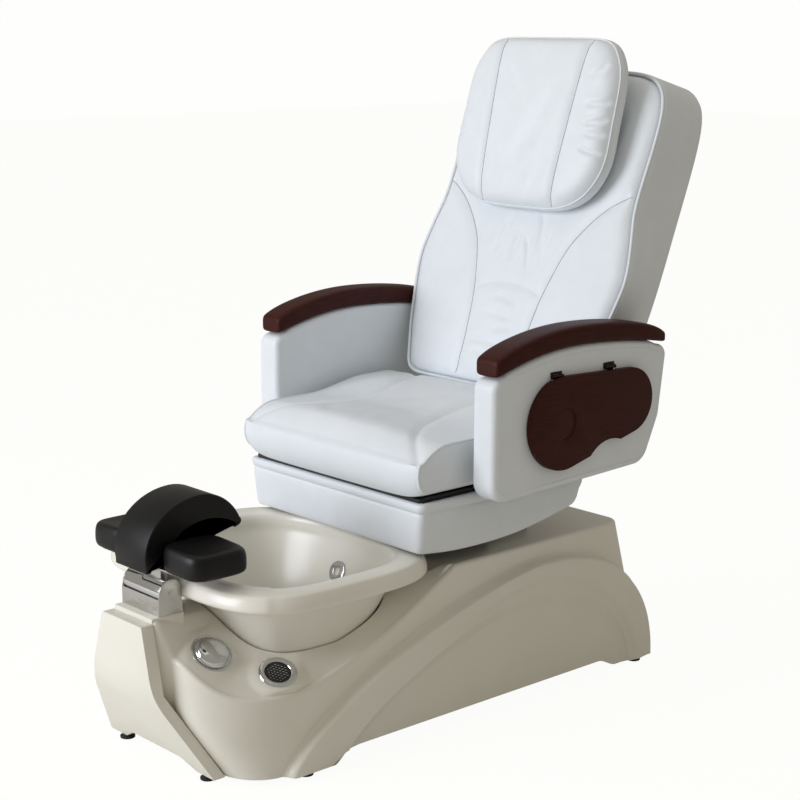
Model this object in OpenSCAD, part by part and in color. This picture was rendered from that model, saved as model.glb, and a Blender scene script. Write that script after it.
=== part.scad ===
// Pedicure spa chair: a moulded base with a whirlpool foot basin and a footrest in front,
// and an upholstered massage seat that slides, with a reclining back and two arms with trays.
// The chair faces -Y and stands on z = 0, with its origin under the middle of its outline.

/* [Base] */
// Distance from the origin to the front of the base
front_reach = 707; // [690:1:730]
// Width over the side walls of the base
base_w = 500; // [470:1:530]
// Distance from the origin to the foot of the rear wall
rear_foot_y = 555; // [530:1:580]
// How far the rear wall leans in from its foot to the deck
rear_lean = 93; // [70:1:120]
// Height of the flat rear deck
deck_h = 344; // [330:1:360]
// Height of the lowest point of the deck's edge
deck_low_h = 173; // [150:1:190]
// Height of the ledge that carries the footrest bracket
ledge_h = 320; // [312:1:328]
// Wall of the moulded shell
shell_t = 6; // [4:0.5:8]
// Gap between the floor and the shell
floor_gap = 12; // [8:1:16]
// Length of the rounded nose at deck level
nose_len = 203; // [170:1:230]
// How far the arched side boss stands out from the wall
arch_relief = 25; // [15:1:32]
// Height of the arched side boss
arch_h = 304; // [280:1:320]
// Width of the arch's raised band
arch_band = 75; // [55:1:95]

/* [Front panel] */
// Width of the front panel at its foot
panel_foot_w = 358; // [330:1:380]
// Width of the front panel at its waist
panel_waist_w = 210; // [190:1:230]
// Width of the front panel at its top
panel_top_w = 136; // [134:1:160]
// Height of the waist
panel_waist_h = 177; // [160:1:195]
// Height of the top
panel_top_h = 311; // [300:1:316]
// Thickness of the front panel
panel_t = 27; // [20:1:32]
// How far the foot is set back from the waist
panel_rake = 87; // [70:1:100]

/* [Basin] */
// Width over the basin's rim
basin_w = 612; // [580:1:640]
// Length over the basin's rim
basin_l = 532; // [510:1:560]
// Distance from the base's front to the rim's front edge
basin_setback = 105; // [95:1:120]
// Height of the rim's crest
rim_h = 385; // [380:1:388]
// Wall of the basin
basin_wall = 6; // [5:0.5:8]
// Height of the basin's floor, outside
basin_floor_h = 100; // [85:1:120]
// Radius of the drain's bore
drain_r = 22; // [18:0.5:26]
// Radius of the jet's bore
jet_r = 14; // [10:0.5:18]
// Height of the rear jet
jet_h = 290; // [270:1:300]

/* [Deck fittings] */
// Radius of the mixer knob's bezel
bezel_r = 43; // [38:0.5:48]
// Radius of the mixer's stem
stem_r = 8; // [6:0.5:10]
// Radius of the air grille's ring
grille_r = 38; // [34:0.5:42]
// Radius of the perforated insert
insert_r = 25; // [20:0.5:30]

/* [Footrest] */
// Width of the stainless bracket
bracket_w = 126; // [116:1:130]
// Depth of the bracket
bracket_d = 56; // [50:1:64]
// Height of the bracket over its ledge
bracket_h = 72; // [66:1:80]
// Sheet thickness of the bracket
sheet_t = 2; // [1.5:0.5:3]
// Radius of the footrest's hinge pin
foot_pin_r = 6; // [5:0.5:8]
// Width of the arched heel rest
arch_rest_w = 108; // [96:1:120]
// Width over both sole pads
pads_w = 370; // [350:1:385]
// Depth of a sole pad
pad_d = 132; // [120:1:140]
// Thickness of a sole pad
pad_t = 54; // [46:1:60]
// Height of the pads' underside
pad_base_h = 411; // [408:1:418]

/* [Seat] */
// Distance from the origin to the front of the seat cushion
seat_front_y = -196; // [-210:1:-180]
// Width of the seat cushion
seat_w = 570; // [550:1:590]
// Length of the seat cushion
seat_l = 506; // [495:1:512]
// Height of the seat pan's top
pan_h = 505; // [500:1:510]
// Height of the seat cushion's rear edge
seat_edge_h = 630; // [620:1:634]
// Width of the skirt at its top
skirt_w = 562; // [530:1:570]
// Clearance of the skirt's front edge over the basin's rim
skirt_clear = 4; // [3:0.5:8]
// Thickness of the skirt's padded board
skirt_t = 14; // [10:1:20]

/* [Arms] */
// Width over the arms
arms_w = 756; // [745:1:770]
// Width of one arm
arm_t = 64; // [56:1:66]
// Height of the arm's underside
arm_low_h = 496; // [490:1:505]
// Height of the arm's crest under its cap
arm_high_h = 792; // [780:1:800]
// Thickness of the wooden cap at its crest
cap_t = 42; // [36:1:46]
// Thickness of a tray
tray_t = 14; // [12:1:18]
// Radius of the tray's front lobe
tray_r1 = 97; // [90:1:102]
// Radius of the tray's rear lobe
tray_r2 = 70; // [62:1:76]
// Distance from the arm's crest down to the tray hinge's axis
tray_drop = 54; // [50:1:60]

/* [Back] */
// Recline of the back at rest, in degrees from upright
recline = 22; // [18:0.5:26]
// Distance from the origin to the recline pin
pin_y = 335; // [330:1:340]
// Height of the recline pin
pin_h = 585; // [580:1:590]
// Length of the back above its pin
back_l = 772; // [740:1:800]
// Thickness of the back
back_t = 176; // [165:1:190]
// Distance from the recline pin to the back's front face
back_front = 83; // [78:1:88]
// Thickness of the back cushion
back_pad_t = 64; // [55:1:70]
// Radius of the recline pin
recline_pin_r = 8; // [6:0.5:10]
// Width of the headrest pillow
pillow_w = 462; // [440:1:480]
// Height of the headrest pillow
pillow_l = 388; // [370:1:400]
// Thickness of the headrest pillow
pillow_t = 66; // [56:1:72]

/* [Hidden] */
$fn = 48;
fit = 0.05;             // radial clearance of a pin in its bore
gap = 0.3;              // clearance between pieces that only lie together
bite = 1;               // overlap of solids that are joined in one piece

cream = "#e4e2d8";
leather = "#dfe3e8";
wood = "#43150f";
steel = "#b9bbbd";
black = "#1b1c1e";
dark_steel = "#4a4d50";

// ---------- shape functions ----------
function spow(v, p) = sign(v) * pow(abs(v), p);
function mix(a, b, u) = a + (b - a) * u;
function unit(v) = v / norm(v);
function squircle(t, a, b, n) = [a * spow(cos(t), 2 / n), b * spow(sin(t), 2 / n)];
// radius of a superellipse in the direction ang
function polar_r(ang, a, b, n) =
    1 / pow(pow(abs(cos(ang)) / a, n) + pow(abs(sin(ang)) / b, n), 1 / n);
// one corner b of a polygon, rounded to radius r
function fillet(a, b, c, r, steps) =
    let (u = unit(a - b), w = unit(c - b), half = acos(u * w) / 2,
         o = b + unit(u + w) * r / sin(half),
         p = b + u * r / tan(half), q = b + w * r / tan(half),
         a0 = atan2(p.y - o.y, p.x - o.x), a1 = atan2(q.y - o.y, q.x - o.x),
         turn = (a1 - a0 + 540) % 360 - 180)
    [for (i = [0:steps]) o + r * [cos(a0 + turn * i / steps), sin(a0 + turn * i / steps)]];
function rounded(pts, radii, steps = 5) =
    let (n = len(pts))
    [for (i = [0:n - 1]) let (r = is_list(radii) ? radii[i] : radii)
        each (r <= 0 ? [pts[i]] : fillet(pts[(i + n - 1) % n], pts[i], pts[(i + 1) % n], r, steps))];
function sum(list, i = 0) = i == len(list) - 1 ? list[i] : list[i] + sum(list, i + 1);

// faces between ring i and ring k, each of n points; turned takes the other diagonal
function band(i, k, n, turned = false) =
    [for (j = [0:n - 1]) let (j2 = (j + 1) % n)
        each turned ? [[i * n + j, k * n + j, i * n + j2], [i * n + j2, k * n + j, k * n + j2]]
            : [[i * n + j, k * n + j, k * n + j2], [i * n + j, k * n + j2, i * n + j2]]];
// a closed solid from rings that run upwards, closed by a fan at each end
module ring_skin(rings) {
    n = len(rings[0]);
    m = len(rings);
    polyhedron(
        concat([for (r = rings) each r], [sum(rings[0]) / n, sum(rings[m - 1]) / n]),
        concat([for (i = [0:m - 2]) each band(i, i + 1, n)],
            [for (j = [0:n - 1]) [m * n, j, (j + 1) % n]],
            [for (j = [0:n - 1]) [m * n + 1, (m - 1) * n + (j + 1) % n, (m - 1) * n + j]]));
}
// a closed tube-like solid whose last ring joins its first
module loop_skin(rings, turned_from) {
    n = len(rings[0]);
    m = len(rings);
    polyhedron([for (r = rings) each r], [for (i = [0:m - 1])
        each band(i, (i + 1) % m, n, i >= turned_from)]);
}
// a (y, z) outline extruded from x0 to x1
module along_x(x0, x1) translate([x0, 0, 0]) rotate([90, 0, 90]) linear_extrude(x1 - x0) children();
module both_sides() { children(); mirror([1, 0, 0]) children(); }

// ---------- base outline ----------
front_y = -front_reach;
basin_y = front_y + basin_setback + basin_l / 2;
deck_rear_y = rear_foot_y - rear_lean;
waist_share = panel_waist_h / (ledge_h - 3);
nose_steps = 8;
side_steps = 10;
corner_steps = 4;
// one point of the nose: flat is where its curve starts, front its foremost y, nose its rear end
function nose_point(t, hw, flat, front, nose, n) =
    let (q = squircle(t, hw - flat, nose - front, n)) [flat + q.x, nose + q.y];
function half_outline(hw, flat, front, nose, rear, rc, set_in = 0, n = 2) = concat(
    [for (i = [0:3]) [(flat - 2) * i / 3, front]],
    [for (i = [0:nose_steps]) nose_point(-90 + 90 * i / nose_steps, hw, flat, front + set_in, nose, n)],
    [for (i = [1:side_steps - 1]) [hw, mix(nose, rear - rc, i / side_steps)]],
    [for (i = [0:corner_steps]) let (t = 90 * i / corner_steps)
        [hw - rc + rc * cos(t), rear - rc + rc * sin(t)]],
    [for (i = [1:3]) [(hw - rc) * (1 - i / 3), rear]]);
function whole(half) = concat(half, [for (i = [len(half) - 2:-1:1]) [-half[i].x, half[i].y]]);
// outlines at the floor, at the waist and at the deck's edge, drawn in by t
rear_waist_y = mix(rear_foot_y, deck_rear_y, 0.52);
nose_set_in = 22;               // how far the nose starts behind the panel's back
panel_back_y = front_y + panel_t + gap;
function foot_ring(t) = whole(half_outline(base_w / 2 + 2 - t, panel_foot_w / 2 - 29 - t,
    panel_back_y + panel_rake + t, front_y + nose_len - 1, rear_foot_y - t, 40 - t));
function waist_ring(t) = whole(half_outline(base_w / 2 + 1 - t, panel_waist_w / 2 + 4 - t,
    panel_back_y + t, front_y + nose_len + 18, rear_waist_y - t, 42 - t, nose_set_in));
edge_flat = panel_waist_w / 2 - 5;
edge_front = panel_back_y + 4;
edge_nose = front_y + nose_len + 34;
edge_round = 1.8;
function edge_ring(t) = whole(half_outline(base_w / 2 - t, edge_flat - t, edge_front + t, edge_nose,
    deck_rear_y - t, 34 - t, nose_set_in, edge_round));
deck_low_y = front_y + nose_len + 28;
deck_high_y = -50;
nose_top = (deck_low_y - edge_front - nose_set_in) / (deck_low_y - panel_back_y);
// height of the deck's edge along the base; in front it rises to the ledge behind the panel
function edge_z(p) = p.y < deck_low_y
    ? deck_low_h + (ledge_h - 3 - deck_low_h) * (abs(p.x) < panel_top_w / 2 ? 1
        : pow(min(nose_top, (deck_low_y - p.y) / (deck_low_y - panel_back_y)), 5))
    : deck_low_h + (deck_h - deck_low_h)
        * pow(min(1, (p.y - deck_low_y) / (deck_high_y - deck_low_y)), 1.5);
// height of the shell's waist under a point of the deck's edge
function waist_z(p) = waist_share * (p.y < edge_front + nose_set_in + 1 ? ledge_h - 3 : edge_z(p));
// the shell's lower edge: raised along the sides, between the feet
foot_rise = 20;                 // how far the lower edge is raised between the feet
function foot_z(p) = floor_gap + (p.y > front_y + 300 && p.y < rear_foot_y - 190 ? foot_rise : 0);

// ---------- basin outline ----------
// inset of the basin's outer wall from its lip, by height
basin_levels = [[basin_floor_h, 150], [basin_floor_h + 50, 128], [230, 108], [300, 78], [rim_h - 42, 58]];
function basin_ring(angles, inset, z) = [for (a = angles)
    let (r = polar_r(a, basin_w / 2 - inset, basin_l / 2 - inset, 3.4 - 0.6 * sin(a)))
    [r * cos(a), basin_y + r * sin(a), z]];
seam_low = 230;
seam_gap = 3.3;                 // gap between the deck and the basin's wall
function seam_z(a) = sin(a) < 0
    ? seam_low + (ledge_h - 8 - seam_low) * pow(-sin(a), 6.5)
    : seam_low + (deck_h - 8 - seam_low) * pow(sin(a), 1.3);
function seam_point(p, drop) =
    let (a = atan2(p.y - basin_y, p.x), z = seam_z(a))
    concat(basin_ring([a], lookup(z, basin_levels) - seam_gap, z - drop)[0]);

// ---------- base ----------
ledge_y = front_y + 49;                      // front of the bracket
// where the fittings sit on the sloping deck: angle round the nose, share of the way from
// the deck's edge to its seam with the basin, and how far the seat is turned up to level
knob_seat = [-67.5, 0.49, 0];
grille_seat = [-15, 0.55, 0.15];
recess = 3;
function deck_edge(t) = let (p = nose_point(t, base_w / 2, edge_flat, edge_front + nose_set_in, edge_nose,
    edge_round)) [p.x, p.y, edge_z(p)];
function deck_point(t, share) = let (low = deck_edge(t)) mix(low, seam_point(low, 0), share);
function deck_normal(seat) =
    let (along = deck_point(seat[0] + 1, seat[1]) - deck_point(seat[0] - 1, seat[1]),
         across = deck_point(seat[0], seat[1] + 0.02) - deck_point(seat[0], seat[1] - 0.02))
    unit(mix(unit(cross(along, across)), [0, 0, 1], seat[2]));
// places children on the deck, with z along the normal of their seat
module on_deck(seat) {
    way = deck_normal(seat);
    translate(deck_point(seat[0], seat[1])) rotate([0, acos(way.z), atan2(way.y, way.x)]) children();
}
waist_rise = deck_h * waist_share - floor_gap;
module rear_wall(z) translate([0, mix(rear_foot_y, rear_waist_y, (z - floor_gap) / waist_rise), z])
    rotate([-90 + atan((rear_foot_y - rear_waist_y) / waist_rise), 0, 0]) children();
cover_w = 300;
cover_h = 110;
cover_mid_h = 90;               // height of the service cover's middle
inlet_seat = [200, 60];         // x and z of the power inlet in the rear wall
plinth_w = 400;
plinth_t = 30;
frame_y = 0;                    // front of the steel cradle
cradle_low = floor_gap + foot_rise + 4;     // its floor plates hide behind the side walls
cradle_t = 6;
foot_block_r = 16;
foot_block_h = 24;
side_feet = [[base_w / 2, front_y + nose_len + 52], [base_w / 2, rear_foot_y - 40]];
panel_foot = [140, front_y + panel_rake + panel_t / 2];

// outline of the arched boss on the side, drawn in by t
arch_mid_y = rear_foot_y - 372;
arch_front_l = 686;
function arch_line(t, floor_z) = concat(
    [for (i = [0:14]) let (u = squircle(180 - 90 * i / 14, arch_front_l - 1.7 * t, arch_h - floor_z - t, 1.4))
        [arch_mid_y + u.x - (t > 0 ? 60 * t / arch_band * i / 14 : 0), floor_z + u.y]],
    [for (i = [1:12]) let (u = squircle(90 - 90 * i / 12, 372 - t, arch_h - floor_z - t, 2.25))
        [arch_mid_y + u.x - (t > 0 ? 60 * t / arch_band * (1 - i / 12) : 0), floor_z + u.y]]);
module side_arch() {
    along_x(base_w / 2 - 3, base_w / 2 + arch_relief / 2) polygon(arch_line(0, floor_gap));
    difference() {
        along_x(base_w / 2, base_w / 2 + arch_relief) polygon(arch_line(0, floor_gap));
        along_x(base_w / 2 - bite, base_w / 2 + arch_relief + bite)
            polygon(arch_line(arch_band, floor_gap));
    }
}
module base_shell() color(cream) difference() {
    union() {
        loop_skin([
            [for (p = foot_ring(0)) [p.x, p.y, foot_z(p)]],
            [for (i = [0:len(edge_ring(0)) - 1])
                let (p = waist_ring(0)[i]) [p.x, p.y, waist_z(edge_ring(0)[i])]],
            [for (p = edge_ring(0)) [p.x, p.y, edge_z(p) - 5]],
            [for (i = [0:len(edge_ring(0)) - 1])
                let (p = edge_ring(8)[i]) [p.x, p.y, edge_z(edge_ring(0)[i])]],
            [for (p = edge_ring(0)) seam_point(p, 0)],
            [for (p = edge_ring(0)) seam_point(p, shell_t)],
            [for (i = [0:len(edge_ring(0)) - 1])
                let (p = edge_ring(shell_t)[i]) [p.x, p.y, edge_z(edge_ring(0)[i]) - 5 - shell_t]],
            [for (i = [0:len(edge_ring(0)) - 1])
                let (p = waist_ring(shell_t)[i]) [p.x, p.y, waist_z(edge_ring(0)[i])]],
            [for (p = foot_ring(shell_t)) [p.x, p.y, foot_z(p)]]
        ], 5);
        both_sides() side_arch();
        both_sides() for (p = side_feet)
            translate([p.x, p.y, floor_gap]) cylinder(h = foot_block_h, r = foot_block_r);
        translate([-bracket_w / 2 - 2, ledge_y - 2, ledge_h - 22])
            cube([bracket_w + 4, bracket_d + 4, 22]);
        translate([-plinth_w / 2, -45, deck_h - plinth_t]) cube([plinth_w, deck_rear_y + 35, plinth_t]);
        on_deck(knob_seat) translate([0, 0, -24]) cylinder(h = 20, r = bezel_r + 3);
        on_deck(grille_seat) translate([0, 0, -22]) cylinder(h = 18, r = grille_r + 3);
    }
    on_deck(knob_seat) {
        translate([0, 0, -recess]) cylinder(h = 60, r = bezel_r + gap);
        translate([0, 0, -80]) cylinder(h = 90, r = 20);
    }
    on_deck(grille_seat) {
        translate([0, 0, -recess]) cylinder(h = 60, r = grille_r + gap);
        translate([0, 0, -80]) cylinder(h = 90, r = insert_r + 3);
    }
    both_sides() along_x(base_w / 2 - 14, base_w / 2 + arch_relief + bite) polygon([
        [front_y + 310, -bite], [front_y + 340, floor_gap + foot_rise],
        [rear_foot_y - 175, floor_gap + foot_rise], [rear_foot_y - 115, -bite]]);
    rear_wall(cover_mid_h) translate([-cover_w / 2 + 15, -cover_h / 2 + 15, -30])
        cube([cover_w - 30, cover_h - 30, 60]);
    rear_wall(inlet_seat[1]) translate([inlet_seat[0], 0, -30]) cylinder(h = 60, r = 14);
}

panel_bend = 150;               // radius of the bend at the panel's waist
module front_panel() color(cream) intersection() {
    along_x(-panel_foot_w / 2 - bite, panel_foot_w / 2 + bite) polygon(rounded([
        [front_y + panel_rake, floor_gap], [front_y, panel_waist_h], [front_y + 4, panel_top_h],
        [front_y + 4 + panel_t, panel_top_h], [front_y + panel_t, panel_waist_h],
        [front_y + panel_rake + panel_t, floor_gap]], [0, panel_bend, 0, 0, 0, 0], 8));
    translate([0, front_y + panel_rake + panel_t + bite, 0]) rotate([90, 0, 0])
        linear_extrude(panel_rake + panel_t + 2 * bite) polygon(rounded([
            [panel_foot_w / 2, floor_gap], [panel_waist_w / 2, panel_waist_h],
            [panel_top_w / 2, panel_top_h], [-panel_top_w / 2, panel_top_h],
            [-panel_waist_w / 2, panel_waist_h], [-panel_foot_w / 2, floor_gap],
            [-122, floor_gap], [-84, 34], [84, 34], [122, floor_gap]],
            [0, 60, 5, 5, 60, 0, 0, 40, 40, 0]));
}

module basin() color(cream) difference() {
    angles = [for (i = [0:63]) i * 360 / 64];
    rings = concat(
        [for (l = basin_levels) basin_ring(angles, l[1], l[0])],
        [for (l = [[16, 39], [4, 34], [0, 26], [3, 15], [12, 5], [28, 0], [45, 2], [57, 10], [63, 22]])
            basin_ring(angles, l[0], rim_h - l[1])],
        [for (i = [len(basin_levels) - 1:-1:1])
            basin_ring(angles, basin_levels[i][1] + basin_wall + 2, basin_levels[i][0])],
        [basin_ring(angles, basin_levels[0][1] + 18, basin_floor_h + basin_wall)]);
    ring_skin(rings);
    translate([0, basin_y, basin_floor_h - 10]) cylinder(h = 40, r = drain_r);
    on_jet() translate([0, 0, -30]) cylinder(h = 60, r = jet_r);
}

// steel cradle under the deck, bolted between the side walls
module base_frame() color(dark_steel) {
    reach = base_w / 2 - shell_t - 1;
    beam = 30;
    top = deck_h - plinth_t;
    low = cradle_low;
    ends = [frame_y, deck_rear_y - 113];
    for (y = ends) {
        translate([-plinth_w / 2, y, top - beam]) cube([plinth_w, beam, beam]);
        translate([-reach, y, low]) cube([2 * reach, beam, cradle_t]);
        for (x = [-150, 150 - beam]) translate([x, y, low]) cube([beam, beam, top - low]);
    }
    for (x = [-150, 150 - beam])
        translate([x, frame_y, top - beam]) cube([beam, ends[1] - frame_y + bite, beam]);
    translate([-100, jet_y - 6, low]) cube([200, ends[1] + beam - jet_y + 6, cradle_t]);
}
module levelling_feet() color(black) both_sides() for (p = concat(side_feet, [panel_foot]))
    translate([p.x, p.y, 0]) {
        cylinder(h = 5, r = panel_t / 2 + 2);
        translate([0, 0, 5]) cylinder(h = floor_gap - 5, r = panel_t / 2 - 2);
    }
module service_cover() color(cream) rear_wall(cover_mid_h) difference() {
    translate([-cover_w / 2, -cover_h / 2, gap]) cube([cover_w, cover_h, 4]);
    for (i = [-4:4]) translate([i * 26 - 4, -32, -bite]) cube([8, 64, 8]);
}

// ---------- plumbing ----------
module drain_flange() color(steel) translate([0, basin_y, 0]) difference() {
    union() {
        translate([0, 0, basin_floor_h + basin_wall]) cylinder(h = 3, r = drain_r + 10);
        translate([0, 0, basin_floor_h - 40]) cylinder(h = 40 + basin_wall + bite, r = drain_r - gap);
    }
    translate([0, 0, basin_floor_h - 35]) cylinder(h = 60, r = drain_r - 4);
    translate([0, 0, basin_floor_h - 50]) cylinder(h = 40, r = 12);
}
module drain_plug() color(steel) translate([0, basin_y, basin_floor_h + basin_wall + 3 + gap]) {
    cylinder(h = 3, r = drain_r + 2);
    translate([0, 0, -30]) cylinder(h = 31, r = 6);
}
jet_y = basin_y + basin_l / 2 - lookup(jet_h, basin_levels);
jet_tilt = atan((basin_levels[2][1] - basin_levels[3][1]) / (basin_levels[3][0] - basin_levels[2][0]));
jet_seat = (basin_wall + 2) * cos(jet_tilt) + gap;      // inner face of the wall, from its outer face
// places children on the sloping rear wall of the basin, with z towards the water
module on_jet() translate([0, jet_y, jet_h]) rotate([90 - jet_tilt, 0, 0]) children();
module jet_faceplate() color(steel) on_jet() difference() {
    union() {
        translate([0, 0, jet_seat]) cylinder(h = 4, r = jet_r + 9);
        translate([0, 0, -24]) cylinder(h = jet_seat + 25, r = jet_r - gap);
    }
    translate([0, 0, -30]) cylinder(h = 60, r = jet_r - 5);
}
module jet_pump() color(black) {
    pump_y = jet_y + 50;
    low = cradle_low + cradle_t;
    on_jet() translate([0, 0, -56]) cylinder(h = 32 - gap, r = jet_r + 6);
    translate([0, pump_y, jet_h - 70]) cylinder(h = 60, r = jet_r);
    translate([0, pump_y, jet_h - 140]) cylinder(h = 95, r = 45);
    translate([-60, pump_y - 50, low]) cube([120, 100, jet_h - 138 - low]);
}
module drain_pump() color(black) translate([0, basin_y, 0]) {
    foot = [60, 190, 18];
    translate([0, 0, floor_gap + foot.z - bite])
        cylinder(h = basin_floor_h - 40 - gap - floor_gap - foot.z + bite, r = 26);
    translate([-foot.x / 2, -30, floor_gap]) cube(foot);
}
module control_box() color(black)
    translate([-90, deck_rear_y - 223, cradle_low + cradle_t]) cube([180, 90, 140]);
module power_inlet() color(black) rear_wall(inlet_seat[1]) translate([inlet_seat[0], 0, 0]) {
    translate([0, 0, gap]) cylinder(h = 3, r = 19);
    translate([0, 0, -20]) cylinder(h = 21, r = 14 - gap);
}

// ---------- deck fittings ----------
module mixer_bezel() color(steel) on_deck(knob_seat) difference() {
    union() {
        translate([0, 0, -recess + 0.1]) cylinder(h = 5, r = bezel_r);
        translate([0, 0, -26]) cylinder(h = 25, r = 20 - gap);
    }
    translate([0, 0, -60]) cylinder(h = 80, r = stem_r + fit);
    translate([0, 0, 0.5]) cylinder(h = 10, r = bezel_r - 5);
}
module mixer_valve() color(dark_steel) on_deck(knob_seat) translate([0, 0, -70]) {
    cylinder(h = 43.7, r = 26);
    translate([-45, 0, 20]) rotate([0, 90, 0]) cylinder(h = 90, r = 9);
}
module mixer_knob() color(steel) on_deck(knob_seat) {
    translate([0, 0, -22]) cylinder(h = 26, r = stem_r);
    translate([0, 0, 0.8]) rotate_extrude() polygon([
        [0, 0], [bezel_r - 6, 0], [bezel_r - 6, 4], [bezel_r - 9, 8], [bezel_r - 18, 14],
        [8, 18], [0, 18.5]]);
}
module grille_ring() color(steel) on_deck(grille_seat) rotate_extrude() polygon([
    [insert_r + gap, -recess + 0.1], [grille_r, -recess + 0.1], [grille_r, 0], [grille_r - 4, 4],
    [grille_r - 8, 5], [insert_r + gap, 3]]);
module grille_insert() color(black) on_deck(grille_seat) difference() {
    union() {
        translate([0, 0, -18]) cylinder(h = 20, r = insert_r);
        translate([0, 0, -18]) cylinder(h = 18 - recess - 0.2, r = insert_r + 2.7);
    }
    translate([0, 0, -19]) cylinder(h = 18, r = insert_r - 3);
    for (i = [-3:3], j = [-3:3]) let (x = 6.5 * (i + j / 2), y = 5.6 * j)
        if (norm([x, y]) < insert_r - 4) translate([x, y, -5]) cylinder(h = 10, r = 2, $fn = 16);
}

// ---------- footrest ----------
roll_r = 30;
foot_axis = [ledge_y + roll_r, ledge_h + bracket_h - roll_r];    // y and z of the hinge pin
plate_t = 4;
arm_plate_z = pad_base_h - gap - plate_t;
arch_front = front_y + 28;
pad_front = front_y + 52;
arm_half = 40;
module on_foot_axis() translate([0, foot_axis[0], foot_axis[1]]) rotate([0, 90, 0]) children();
// cradle: foot plate, low front plate and two cheeks that follow the roll
module footrest_bracket() color(steel) difference() {
    union() {
        both_sides() along_x(bracket_w / 2 - sheet_t, bracket_w / 2) polygon(concat(
            [[ledge_y, ledge_h], [ledge_y + bracket_d, ledge_h],
                [ledge_y + bracket_d - 4, ledge_h + bracket_h - 16]],
            [for (i = [0:12]) let (t = 60 + 120 * i / 12)
                foot_axis + (roll_r - sheet_t) * [cos(t), sin(t)]],
            [[ledge_y, foot_axis[1] - 8]]));
        translate([-bracket_w / 2, ledge_y, ledge_h]) cube([bracket_w, sheet_t, foot_axis[1] - 8 - ledge_h]);
        translate([-bracket_w / 2, ledge_y, ledge_h]) cube([bracket_w, bracket_d, sheet_t]);
    }
    on_foot_axis() translate([0, 0, -bracket_w]) cylinder(h = 2 * bracket_w, r = foot_pin_r - 1);
}
module footrest_pin() color(dark_steel) on_foot_axis() {
    translate([0, 0, -bracket_w / 2 + sheet_t]) cylinder(h = bracket_w - 2 * sheet_t, r = foot_pin_r);
    translate([0, 0, -bracket_w / 2 - 1]) cylinder(h = bracket_w + 2, r = foot_pin_r - 1);
}
// polished roll round the pin: it turns with the footrest
module footrest_roll() {
    reach = bracket_w / 2 - sheet_t - gap;
    outer = roll_r - sheet_t - gap;
    module sector(r) polygon(concat([[0, 0]],
        [for (i = [0:14]) let (t = 110 + 90 * i / 14) r * [cos(t), sin(t)]]));
    color(steel) translate([0, foot_axis[0], foot_axis[1]]) {
        along_x(-reach, reach) difference() {
            sector(outer);
            circle(r = outer - sheet_t);
        }
        both_sides() along_x(arm_half + gap, arm_half + gap + sheet_t) difference() {
            sector(outer);
            circle(r = foot_pin_r + gap);
        }
    }
}
module footrest_arm() color(steel) difference() {
    union() {
        on_foot_axis() translate([0, 0, -arm_half]) cylinder(h = 2 * arm_half, r = 12);
        translate([-arm_half, foot_axis[0] - 8, foot_axis[1]])
            cube([2 * arm_half, 16, arm_plate_z - foot_axis[1] + bite]);
        translate([-arm_half, arch_front + 15.5, arm_plate_z]) cube([2 * arm_half, 113.5, plate_t]);
        translate([-pads_w / 2 + 30, pad_front + 14, arm_plate_z]) cube([pads_w - 80, pad_d - 46, plate_t]);
    }
    on_foot_axis() translate([0, 0, -50]) cylinder(h = 100, r = foot_pin_r + fit);
}
// crescent side view of the heel rest
function arch_out(i, n) = let (t = 190 - 165 * i / n)
    [arch_front + 131 + (t > 90 ? 131 : 104) * cos(t), pad_base_h + 25 + 106 * sin(t)];
function arch_in(i, n) = let (t = 38 + 148 * i / n)
    [arch_front + 146 + 86 * cos(t), pad_base_h + 14 + 58 * sin(t)];
module footrest_arch() color(black)
    along_x(-arch_rest_w / 2, arch_rest_w / 2) polygon(concat(
        [[arch_front + 15, pad_base_h], [arch_front + 15, pad_base_h - 5], [arch_front + 3, pad_base_h - 5]],
        [for (i = [0:20]) arch_out(i, 20)],
        [[arch_front + 228, pad_base_h + 62], [arch_front + 219, pad_base_h + 58]],
        [for (i = [0:14]) arch_in(i, 14)]));
module sole_pad() {
    half = (pads_w - arch_rest_w) / 4 - gap / 2;
    mid = [arch_rest_w / 2 + gap + half, pad_front + pad_d / 2];
    angles = [for (i = [0:35]) i * 10];
    // the upper rings fall a little towards the outer end
    function pad_ring(s, z, fall = 0.03) = [for (a = angles) let (q = squircle(a, half * s, pad_d / 2 * s, 5))
        [mid.x + q.x, mid.y + q.y + 3 * pow(q.x / half, 2), pad_base_h + z - fall * (q.x + half)]];
    color(black) ring_skin([pad_ring(0.86, 0, 0), pad_ring(0.95, 3, 0), pad_ring(1, 10),
        pad_ring(1, pad_t - 12), pad_ring(0.96, pad_t - 4), pad_ring(0.88, pad_t),
        pad_ring(0.6, pad_t + 3), pad_ring(0.3, pad_t + 4)]);
}
module footrest_pad_right() sole_pad();
module footrest_pad_left() mirror([1, 0, 0]) sole_pad();

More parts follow.
